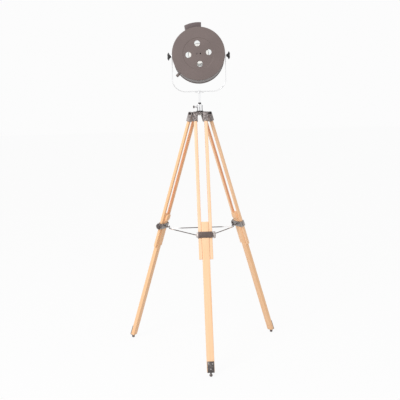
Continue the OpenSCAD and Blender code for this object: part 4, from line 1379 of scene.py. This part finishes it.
def strap_section(half_thick, half_wide, corner):
    """Rounded rectangle: x across the strap's thickness, y across its width."""
    box = [(-half_thick, -half_wide), (half_thick, -half_wide), (half_thick, half_wide),
           (-half_thick, half_wide)]
    return rounded(box, corner, 4)


def yoke_stations():
    """Places along the strap: (position, outward normal, half width)."""
    straight = YOKE_DROP - YOKE_CORNER
    middle = YOKE_IN + YOKE_THICKNESS / 2
    half = YOKE_WIDTH / 2
    stations = []
    for k in range(14, 0, -1):
        angle = math.radians(87) * k / 14
        stations.append(((middle, half * math.sin(angle)), (1, 0), half * math.cos(angle)))
    stations += [((middle, -straight * k / 8), (1, 0), half) for k in range(9)]
    centre, bend = YOKE_IN - YOKE_CORNER, YOKE_CORNER + YOKE_THICKNESS / 2
    for k in range(1, 41):
        angle = -math.pi / 2 * k / 40
        out = (math.cos(angle), math.sin(angle))
        stations.append(((centre + bend * out[0], -straight + bend * out[1]), out, half))
    mirrored = [((-x, z), (-nx, nz), wide) for (x, z), (nx, nz), wide in reversed(stations)]
    return stations + mirrored


def add_yoke():
    """U strap with round ends, its stem and the screw between them."""
    edge = sizes().yoke_edge
    vertices, faces = [], []
    stations = yoke_stations()
    for (x, z), (nx, nz), wide in stations:
        for across, along in strap_section(YOKE_THICKNESS / 2, wide, min(edge, wide * 0.6)):
            vertices.append((x + nx * across, along, z + nz * across))
    count = len(vertices) // len(stations)
    for i in range(len(stations) - 1):
        here, there = i * count, (i + 1) * count
        for k in range(count):
            following = (k + 1) % count
            faces.append((here + k, here + following, there + following, there + k))
    faces.append(tuple(range(count)))
    faces.append(tuple(range(len(vertices) - count, len(vertices))))
    reach = YOKE_IN - 0.002
    sides = [(Vector((side * reach, 0, 0)), Vector((side, 0, 0))) for side in (-1, 1)]
    below = [(Vector((0, 0, -YOKE_DROP + 0.002)), Vector((0, 0, -1)))]
    strap = mesh_from(vertices, faces)
    for radius, holes in ((STUD_RADIUS + RUN_GAP, sides), (STEM_HOLE_RADIUS, below)):
        strap = with_openings(strap, cylinder_cutter(radius, 0.0, 0.012), holes, "chrome")
    piece("yoke_strap", clean(strap, yoke_frame()), "chrome", "yoke")
    add_stem()


def add_stem():
    """Stem with its flange, black collar and screw."""
    low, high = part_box("yoke_stem")
    flange = (high.x - low.x) / 2
    height = high.z - low.z
    shoulder, hole_end = height - STEM_FLANGE_THICKNESS, height - STEM_HOLE_DEPTH
    profile = rounded([(0, 0), (STEM_RADIUS, 0), (STEM_RADIUS, shoulder), (flange, shoulder),
                       (flange, height), (STEM_HOLE_RADIUS, height), (STEM_HOLE_RADIUS, hole_end),
                       (0, hole_end)],
                      [0, 0.0008, 0.0015, 0.001, 0.0003, 0, 0, 0], 4, closed=False)
    stem = turned(profile, upright(low.z), 96, closed=False)
    piece("yoke_stem_chrome", stem, "chrome", "yoke_stem")
    bottom = POST_AXIS.z + SLIDE_GAP - low.z
    top = bottom + STEM_COLLAR_HEIGHT
    inner = STEM_RADIUS - 0.0003
    ring = rounded([(inner, bottom), (STEM_RADIUS + 0.00155, bottom), (STEM_RADIUS + 0.00025, top),
                    (inner, top)], [0, 0.0004, 0.0001, 0], 3)
    collar = turned(ring, upright(low.z), 96)
    piece("yoke_stem_collar", collar, "black metal", (), body="yoke")
    low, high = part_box("stem_screw")
    top = high.z - low.z - STEM_SCREW_HEAD
    shaft = turned([(0, 0), (STEM_HOLE_RADIUS - 0.0005, 0), (STEM_HOLE_RADIUS, 0.0005),
                    (STEM_HOLE_RADIUS, top), (0, top)], upright(low.z), 48, closed=False)
    places = [(Vector((POST_AXIS.x, POST_AXIS.y, high.z - STEM_SCREW_HEAD)), Vector((0, 0, 1)))]
    head = fasteners(hex_block(flats(0.0075), STEM_SCREW_HEAD), places, "chrome")
    piece("stem_screw_chrome", joined(shaft, head), "chrome", "stem_screw")


# ---- Lamp head ----

def add_drum():
    """Drum with the flange that carries the gasket."""
    flange_back = FLANGE_Y - FLANGE_THICKNESS
    profile = rounded([(DRUM_RADIUS, BACK_IN), (DRUM_RADIUS, GLASS_FRONT), (DRUM_IN, GLASS_FRONT),
                       (DRUM_IN, FLANGE_Y), (BEZEL_OPENING, FLANGE_Y), (BEZEL_OPENING, flange_back),
                       (DRUM_IN, flange_back), (DRUM_IN, BACK_IN)],
                      [0, 0.0005, 0.0005, 0, 0.001, 0.001, 0.002, 0], 3)
    piece("drum_painted", turned(profile, head_frame()), "head paint", "drum")


def add_back_cover():
    """Back cover with its rolled rim, shallow panel and four vent holes, and the holder's screws."""
    face = BACK_Y + PANEL_STEP
    inner = DRUM_RADIUS + RUN_GAP
    fillet = sizes().panel_fillet
    rim_end = BACK_IN + RIM_DEPTH
    profile = rounded([(0, face), (PANEL_RADIUS - 0.0008, face), (PANEL_RADIUS + 0.0008, BACK_Y),
                       (RIM_RADIUS, BACK_Y), (RIM_RADIUS, rim_end), (inner, rim_end), (inner, BACK_IN),
                       (0, BACK_IN)],
                      [0, fillet, fillet, RIM_LIP, 0.0008, 0.0003, 0, 0], 6, closed=False)
    vents = round_places(4, VENT_CIRCLE, BACK_Y, VENT_TURN)
    drill = cylinder_cutter(VENT_RADIUS, PANEL_STEP - 0.0003, 0.006, 0.0004, 64)
    mesh = with_openings(turned(profile, closed=False, sharp=50.0), drill, vents, "head paint", "EXACT")
    own = head_frame()
    piece("back_cover_painted", clean(mesh, own, 50.0), "head paint", "back_cover")
    back = own.to_3x3() @ Vector((0, -1, 0))
    screw = pan_head_screw(*HOLDER_SCREW)
    for name, side, material in (("left", -1, "cowl paint"), ("right", 1, "black metal")):
        places = [(own @ Vector((side * HOLDER_SCREW_X, face, 0)), back)]
        piece("holder_screw_" + name, fasteners(screw.copy(), places, material), material,
              "holder_screws")


def add_cowl():
    """Vent cowl from its solid."""
    piece("vent_cowl_painted", cad_copy("vent_cowl", 0.0009), "cowl paint", "vent_cowl")


def add_bezel():
    """Front bezel with its screws, the glass and the gasket."""
    own = head_frame()
    inner = DRUM_RADIUS + RUN_GAP
    rim_end = GLASS_FRONT - RIM_DEPTH
    profile = rounded([(BEZEL_OPENING, GLASS_FRONT), (BEZEL_OPENING, FRONT_Y), (RIM_RADIUS, FRONT_Y),
                       (RIM_RADIUS, rim_end), (inner, rim_end), (inner, GLASS_FRONT)],
                      [0.0004, 0.0018, RIM_LIP, 0.0008, 0.0003, 0], 6)
    piece("bezel_painted", turned(profile, own), "paint", "bezel")
    ahead = own.col[1].to_3d()
    places = [(own @ place, ahead) for place, facing in
              round_places(4, BEZEL_SCREW_CIRCLE, FRONT_Y, math.pi / 4)]
    screws = fasteners(pan_head_screw(*BEZEL_SCREW), places, "nickel")
    piece("bezel_screw_heads", screws, "nickel", "bezel_screws")
    glass = rounded([(0, GLASS_BACK), (GLASS_RADIUS, GLASS_BACK), (GLASS_RADIUS, GLASS_FRONT),
                     (0, GLASS_FRONT)], [0, 0.0005, 0.0005, 0], 2, closed=False)
    pane = turned(glass, own, closed=False)
    piece("front_glass_pane", pane, "clear glass", "front_glass")
    outer, seat = DRUM_IN - RUN_GAP, GLASS_RADIUS + RUN_GAP
    gasket = rounded([(BEZEL_OPENING, FLANGE_Y), (outer, FLANGE_Y), (outer, GLASS_FRONT),
                      (seat, GLASS_FRONT), (seat, GLASS_BACK), (BEZEL_OPENING, GLASS_BACK)],
                     [0.0008, 0.0002, 0.0002, 0.0002, 0, 0.0008], 3)
    piece("glass_gasket_moulded", turned(gasket, own), "rubber", "glass_gasket")


def add_lamp_inside():
    """Heat shield, lampholder, and bulb with its threaded cap."""
    own = head_frame()
    hole, end = HOLDER_RADIUS + 0.0001, BACK_IN + SHIELD_LENGTH
    floor, shield_in = BACK_IN + SHIELD_WALL, SHIELD_RADIUS - SHIELD_WALL
    shield = rounded([(hole, BACK_IN), (SHIELD_RADIUS, BACK_IN), (SHIELD_RADIUS, end), (shield_in, end),
                      (shield_in, floor), (hole, floor)], [0, 0.0006, 0.0006, 0.0006, 0.0005, 0], 3)
    vents = round_places(4, VENT_CIRCLE, BACK_IN - 0.0005, VENT_TURN)
    drill = cylinder_cutter(VENT_RADIUS + 0.0001, 0.0, SHIELD_WALL + 0.0005, 0.0, 64)
    mesh = with_openings(turned(shield, guard=False), drill, vents, "white enamel")
    piece("heat_shield_enamelled", clean(mesh, own), "white enamel", "heat_shield")
    mouth, socket = HOLDER_MOUTH, BULB_CAP_RADIUS + 0.0003
    step, floor = mouth - 0.026, mouth - 0.024
    holder = rounded([(0, BACK_IN), (HOLDER_RADIUS, BACK_IN), (HOLDER_RADIUS, step), (HOLDER_FLARE, step),
                      (HOLDER_FLARE, mouth), (socket, mouth), (socket, floor), (0, floor)],
                     [0, 0.0005, 0.001, 0.0015, 0.0012, 0.0005, 0, 0], 4, closed=False)
    piece("lamp_holder_glazed", turned(holder, own, 96, closed=False), "porcelain",
          "lamp_holder")
    add_bulb(own, mouth)


def add_bulb(own, mouth):
    """Round bulb on a threaded cap that sits in the holder's mouth."""
    low, high = mouth - 0.022, mouth - 0.001
    steps = BULB_THREADS * 8
    thread = []
    for k in range(steps + 1):
        wave = 0.5 + 0.5 * math.cos(2 * math.pi * BULB_THREADS * k / steps)
        thread.append((BULB_CAP_RADIUS - 0.0007 * (1 - wave), low + (high - low) * k / steps))
    contact = [(0, mouth - 0.024), (0.0046, mouth - 0.0238), (0.005, mouth - 0.0222), (0.0105, low)]
    neck, centre = mouth + 0.002, mouth + 0.064
    profile = contact + thread + [(BULB_CAP_RADIUS, neck), (0, neck)]
    cap = turned(profile, own, 64, closed=False, sharp=50.0)
    piece("bulb_cap_threaded", cap, "nickel", "bulb_cap")
    glass = [(0, neck), (BULB_CAP_RADIUS, neck), (0.0135, neck + 0.008), (0.0145, neck + 0.016),
             (0.0172, neck + 0.027), (0.0216, neck + 0.038)]
    glass += [(BULB_RADIUS * math.cos(angle), centre + BULB_RADIUS * math.sin(angle))
              for angle in (math.radians(-36 + 6 * k) for k in range(21))]
    glass += [(0, centre + BULB_RADIUS)]
    bulb = turned(glass, own, 96, closed=False, guard=False)
    piece("bulb_glass", bulb, "frosted glass", "bulb")


def add_gland():
    """Cable gland: threaded neck, inner nut, outer nut and domed end with the cord's hole."""
    start, head, wide = DRUM_IN - 0.009, GLAND_HEAD + 0.0015, GLAND_NECK + 0.0012
    body = rounded([(GLAND_BORE, start), (GLAND_NECK, start), (GLAND_NECK, GLAND_HEAD + 0.001),
                    (wide, head), (wide, GLAND_END - 0.003), (GLAND_NECK - 0.0002, GLAND_END),
                    (GLAND_BORE, GLAND_END)],
                   [0.0003, 0.0006, 0, 0.0003, 0.002, 0.0015, 0.0008], 4)
    outer = hex_block(flats(GLAND_NECK + 0.0026), 0.0088, GLAND_NECK + 0.0011, True)
    outer.transform(Matrix.Translation((0, GLAND_HEAD + 0.0001, 0)))
    inner = hex_block(flats(GLAND_NECK + 0.0035), 0.0042, GLAND_NECK + 0.00002, True)
    inner.transform(Matrix.Translation((0, DRUM_IN - 0.005, 0)))
    mesh = joined(turned(body, segments=64), outer, inner)
    direction = (math.cos(GLAND_ANGLE), 0, math.sin(GLAND_ANGLE))
    mesh.transform(head_frame() @ aimed((0, GLAND_Y, 0), direction))
    piece("cable_gland_moulded", mesh, "gland plastic", "cable_gland")


def add_pivot_studs():
    """Threaded studs with shoulders that carry the head in the yoke."""
    end, shoulder_end, nut = YOKE_OUT + 0.014, YOKE_IN - 0.0003, DRUM_IN - 0.008
    wide = STUD_SHOULDER_RADIUS
    profile = [(0, nut), (STUD_RADIUS, nut), (STUD_RADIUS, DRUM_RADIUS), (wide - 0.0005, DRUM_RADIUS),
               (wide, DRUM_RADIUS + 0.0005), (wide, shoulder_end - 0.0006), (wide - 0.0006, shoulder_end),
               (STUD_RADIUS, shoulder_end), (STUD_RADIUS, YOKE_OUT - 0.0001)]
    along = YOKE_OUT
    while along < end - 0.0012:
        profile += [(STUD_RADIUS, along), (STUD_RADIUS - 0.0005, along + STUD_PITCH / 2)]
        along += STUD_PITCH
    profile += [(STUD_RADIUS - 0.0006, end), (0, end)]
    parts = []
    for side in (-1, 1):
        place = head_frame() @ aimed((0, 0, 0), (side, 0, 0))
        block = hex_block(flats(0.008), 0.0066, STUD_RADIUS + 0.00002, True)
        block.transform(place @ Matrix.Translation((0, nut, 0)))
        parts += [turned(profile, place, 64, closed=False), block]
    piece("pivot_studs_threaded", joined(*parts), "chrome", "pivot_studs")


def add_wing_knobs():
    """Black knobs with two petal-shaped ears that flare out from a narrow hub."""
    start, half = YOKE_OUT + 0.0003, WING_SPAN / 2
    end = start + WING_LENGTH
    upper = [(start + 0.0010, 0.0046), (start + 0.0045, 0.0064), (start + 0.0078, 0.0096),
             (start + 0.0100, 0.0138), (start + 0.0108, half - 0.0020), (start + 0.0126, half - 0.0001),
             (start + 0.0146, half - 0.0016), (start + 0.0172, 0.0134), (end - 0.0002, 0.0080),
             (end - 0.0010, 0.0032)]
    outline = rounded(upper + [(x, -z) for x, z in reversed(upper)], 0.0022, 4)
    hub = rounded([(0, start), (0.0048, start), (0.0065, start + 0.0060), (0.0065, end - 0.0045),
                   (0.0050, end - 0.0015), (0, end - 0.0015)], [0, 0.0005, 0.003, 0.003, 0.001, 0], 4,
                  closed=False)
    drill = cylinder_cutter(STUD_RADIUS + RUN_GAP, start - 0.001, end - 0.0046)
    turn = aimed((0, 0, 0), (1, 0, 0))
    drill.transform(turn)
    for name, angle in (("left", math.pi), ("right", 0)):
        ears = prism(outline, 0.006, edge=0.0022, steps=5)
        mesh = boolean(ears, turned(hub, turn, 48, closed=False), "UNION")
        mesh = boolean(mesh, drill.copy(), "DIFFERENCE")
        place = head_frame() @ Matrix.Rotation(angle, 4, "Y")
        node = name + "_wing_knob"
        piece(node + "_moulded", clean(mesh, place), "black plastic", node)


# ---- Studio ----

def stage_sheet(name, corners):
    """Flat sheet of the studio: returns it with the empty tree of its material."""
    material = bpy.data.materials.new(name)
    material.use_nodes = True
    material.node_tree.nodes.clear()
    mesh = mesh_from(corners, [(0, 1, 2, 3)])
    mesh.materials.append(material)
    return linked(name, mesh), material.node_tree


def end_mixed(tree, kind, share, first, second):
    """Ends a material or the world in a mix of two shaders."""
    mixed = output(tree, "ShaderNodeMixShader", {0: share, 1: first, 2: second})
    put(tree, kind, {"Surface": mixed})


def add_floor():
    """Large pale floor that shows white, and keeps a soft shadow of the lamp."""
    half = FLOOR_SIDE / 2
    corners = [(-half, -half, 0), (half, -half, 0), (half, half, 0), (-half, half, 0)]
    floor, tree = stage_sheet("studio_floor", corners)
    shown = output(tree, "ShaderNodeEmission", {"Color": (1, 1, 1, 1), "Strength": 1.0})
    matt = output(tree, "ShaderNodeBsdfDiffuse", {"Color": (0.80, 0.80, 0.80, 1)})
    share = maths(tree, "MULTIPLY", seen_directly(tree), FLOOR_WHITE)
    end_mixed(tree, "ShaderNodeOutputMaterial", share, matt, shown)


def seen_directly(tree):
    """1 for rays from the camera and for what glossy and clear surfaces show."""
    path = put(tree, "ShaderNodeLightPath").outputs
    first = maths(tree, "MAXIMUM", path["Is Camera Ray"], path["Is Glossy Ray"])
    return maths(tree, "MAXIMUM", first, path["Is Transmission Ray"])


def add_flags():
    """Dark cloths that only reflections show. They give the post its dark edges and middle line."""
    back = math.atan2(CAMERA_PLACE[1] - POST_AXIS.y, CAMERA_PLACE[0] - POST_AXIS.x)
    for name, turn, distance, half_width, low, high in FLAGS:
        angle = back + math.radians(turn)
        away = Vector((math.cos(angle), math.sin(angle), 0))
        foot = Vector((POST_AXIS.x, POST_AXIS.y, 0)) + away * distance
        side = Vector((away.y, -away.x, 0)) * half_width
        corners = [foot + side * way + Vector((0, 0, z))
                   for way, z in ((-1, low), (1, low), (1, high), (-1, high))]
        flag, tree = stage_sheet(name, corners)
        dark = output(tree, "ShaderNodeEmission", {"Color": FLAG_COLOUR, "Strength": 1.0})
        clear = output(tree, "ShaderNodeBsdfTransparent")
        glossy = put(tree, "ShaderNodeLightPath").outputs["Is Glossy Ray"]
        end_mixed(tree, "ShaderNodeOutputMaterial", glossy, clear, dark)


def add_world():
    """White backdrop to look at, and an even light from all round."""
    world = bpy.data.worlds.new("Studio")
    bpy.context.scene.world = world
    world.use_nodes = True
    tree = world.node_tree
    tree.nodes.clear()
    level = studio().background
    backdrop = output(tree, "ShaderNodeBackground", {"Color": (level, level, level, 1), "Strength": 1.0})
    light = output(tree, "ShaderNodeBackground", {"Color": (1, 1, 1, 1), "Strength": studio().fill})
    end_mixed(tree, "ShaderNodeOutputWorld", seen_directly(tree), light, backdrop)


def add_lamp(name, place, target, size, power):
    """Round soft lamp that looks at a target."""
    lamp = bpy.data.lights.new(name, "AREA")
    lamp.shape = "DISK"
    lamp.size = size
    lamp.energy = power
    holder = linked(name, lamp)
    holder.location = place
    aim = Vector(target) - Vector(place)
    holder.rotation_euler = aim.to_track_quat("-Z", "Y").to_euler()


def add_camera():
    """Camera that sees the lamp from behind, as the photograph does."""
    heading, pitch, roll = CAMERA_HEADING, CAMERA_PITCH, CAMERA_ROLL
    level_ahead = Vector((math.sin(heading), math.cos(heading), 0)) * math.cos(pitch)
    ahead = level_ahead + Vector((0, 0, math.sin(pitch)))
    level = Vector((math.cos(heading), -math.sin(heading), 0))
    above = level.cross(ahead)
    right = math.cos(roll) * level - math.sin(roll) * above
    up = math.sin(roll) * level + math.cos(roll) * above
    lens = bpy.data.cameras.new("studio_camera")
    lens.lens = CAMERA_LENS
    lens.sensor_width = 36.0
    camera = linked("studio_camera", lens)
    camera.matrix_world = matrix_of(right, up, -ahead, CAMERA_PLACE)
    bpy.context.scene.camera = camera


# ---- Operators ----

class LAMP_OT_slats(bpy.types.Operator):
    """Add the wooden slats and stop blocks of the three legs"""

    bl_idname = "lamp.slats"
    bl_label = "Slats"

    def execute(self, context):
        for leg in LEGS:
            add_slats(leg)
        return {"FINISHED"}


class LAMP_OT_castings(bpy.types.Operator):
    """Add the hub and the caps, collars and shoes of the legs"""

    bl_idname = "lamp.castings"
    bl_label = "Castings"

    def execute(self, context):
        add_hub()
        for leg in LEGS:
            add_castings(leg)
        return {"FINISHED"}


class LAMP_OT_leg_fasteners(bpy.types.Operator):
    """Add the legs' bolts, nuts and screws"""

    bl_idname = "lamp.leg_fasteners"
    bl_label = "Leg fasteners"

    def execute(self, context):
        add_pivot_bolts()
        for leg in LEGS:
            add_leg_screws(leg)
        return {"FINISHED"}


class LAMP_OT_collar_knobs(bpy.types.Operator):
    """Add the fluted knobs of the collars"""

    bl_idname = "lamp.collar_knobs"
    bl_label = "Collar knobs"

    def execute(self, context):
        for leg in LEGS:
            add_collar_knob(leg)
        return {"FINISHED"}


class LAMP_OT_stays(bpy.types.Operator):
    """Add the eye rings and the stay rods between the legs"""

    bl_idname = "lamp.stays"
    bl_label = "Stays"

    def execute(self, context):
        for leg in LEGS:
            add_eye(leg)
            add_stay_rod(leg)
        return {"FINISHED"}


class LAMP_OT_ball_feet(bpy.types.Operator):
    """Add the ball feet"""

    bl_idname = "lamp.ball_feet"
    bl_label = "Ball feet"

    def execute(self, context):
        for leg in LEGS:
            add_ball_foot(leg)
        return {"FINISHED"}


class LAMP_OT_post(bpy.types.Operator):
    """Add the post socket with its ring and clamp screw"""

    bl_idname = "lamp.post"
    bl_label = "Post"

    def execute(self, context):
        add_post()
        return {"FINISHED"}


class LAMP_OT_yoke(bpy.types.Operator):
    """Add the yoke, its stem and its screw"""

    bl_idname = "lamp.yoke"
    bl_label = "Yoke"

    def execute(self, context):
        add_yoke()
        return {"FINISHED"}


class LAMP_OT_housing(bpy.types.Operator):
    """Add the drum, the back cover with its screws and the vent cowl"""

    bl_idname = "lamp.housing"
    bl_label = "Lamp housing"

    def execute(self, context):
        add_drum()
        add_back_cover()
        add_cowl()
        return {"FINISHED"}


class LAMP_OT_front(bpy.types.Operator):
    """Add the bezel with its screws, the front glass and the gasket"""

    bl_idname = "lamp.front"
    bl_label = "Lamp front"

    def execute(self, context):
        add_bezel()
        return {"FINISHED"}


class LAMP_OT_inside(bpy.types.Operator):
    """Add the heat shield, lampholder and bulb"""

    bl_idname = "lamp.inside"
    bl_label = "Lamp inside"

    def execute(self, context):
        add_lamp_inside()
        return {"FINISHED"}


class LAMP_OT_gland(bpy.types.Operator):
    """Add the cable gland"""

    bl_idname = "lamp.gland"
    bl_label = "Cable gland"

    def execute(self, context):
        add_gland()
        return {"FINISHED"}


class LAMP_OT_pivots(bpy.types.Operator):
    """Add the pivot studs and wing knobs of the head"""

    bl_idname = "lamp.pivots"
    bl_label = "Pivots"

    def execute(self, context):
        add_pivot_studs()
        add_wing_knobs()
        return {"FINISHED"}


class LAMP_OT_stage(bpy.types.Operator):
    """Add the studio: white floor, soft light and camera"""

    bl_idname = "lamp.stage"
    bl_label = "Studio"

    def execute(self, context):
        context.scene.view_settings.view_transform = "Standard"
        add_floor()
        add_flags()
        add_world()
        add_lamp("key", KEY_PLACE, KEY_TARGET, KEY_SIZE, studio().key)
        add_camera()
        return {"FINISHED"}


OPERATORS = (LAMP_OT_slats, LAMP_OT_castings, LAMP_OT_leg_fasteners, LAMP_OT_collar_knobs, LAMP_OT_stays,
             LAMP_OT_ball_feet, LAMP_OT_post, LAMP_OT_yoke, LAMP_OT_housing, LAMP_OT_front, LAMP_OT_inside,
             LAMP_OT_gland, LAMP_OT_pivots, LAMP_OT_stage)


class LAMP_PT_panel(bpy.types.Panel):
    """Sidebar panel with the lamp's settings and its pieces"""

    bl_idname = "LAMP_PT_panel"
    bl_label = "Tripod spotlight"
    bl_space_type = "VIEW_3D"
    bl_region_type = "UI"
    bl_category = "Lamp"

    def draw(self, context):
        for group in (sizes(), colours(), studio()):
            box = self.layout.box()
            for name in group.__annotations__:
                box.prop(group, name)
        for operator in OPERATORS:
            self.layout.operator(operator.bl_idname)


GROUPS = {"lamp_sizes": LampSizes, "lamp_colours": LampColours, "lamp_studio": LampStudio}


def register():
    """Adds the settings, the operators and the panel."""
    for group in GROUPS.values():
        bpy.utils.register_class(group)
    for name, group in GROUPS.items():
        setattr(bpy.types.Scene, name, PointerProperty(type=group))
    for operator in OPERATORS:
        bpy.utils.register_class(operator)
    bpy.utils.register_class(LAMP_PT_panel)


def unregister():
    """Takes them away again."""
    bpy.utils.unregister_class(LAMP_PT_panel)
    for operator in reversed(OPERATORS):
        bpy.utils.unregister_class(operator)
    for name in GROUPS:
        delattr(bpy.types.Scene, name)
    for group in reversed(GROUPS.values()):
        bpy.utils.unregister_class(group)


def main():
    register()
    for operator in OPERATORS:
        group, name = operator.bl_idname.split(".")
        getattr(getattr(bpy.ops, group), name)()


if __name__ == "__main__":
    main()
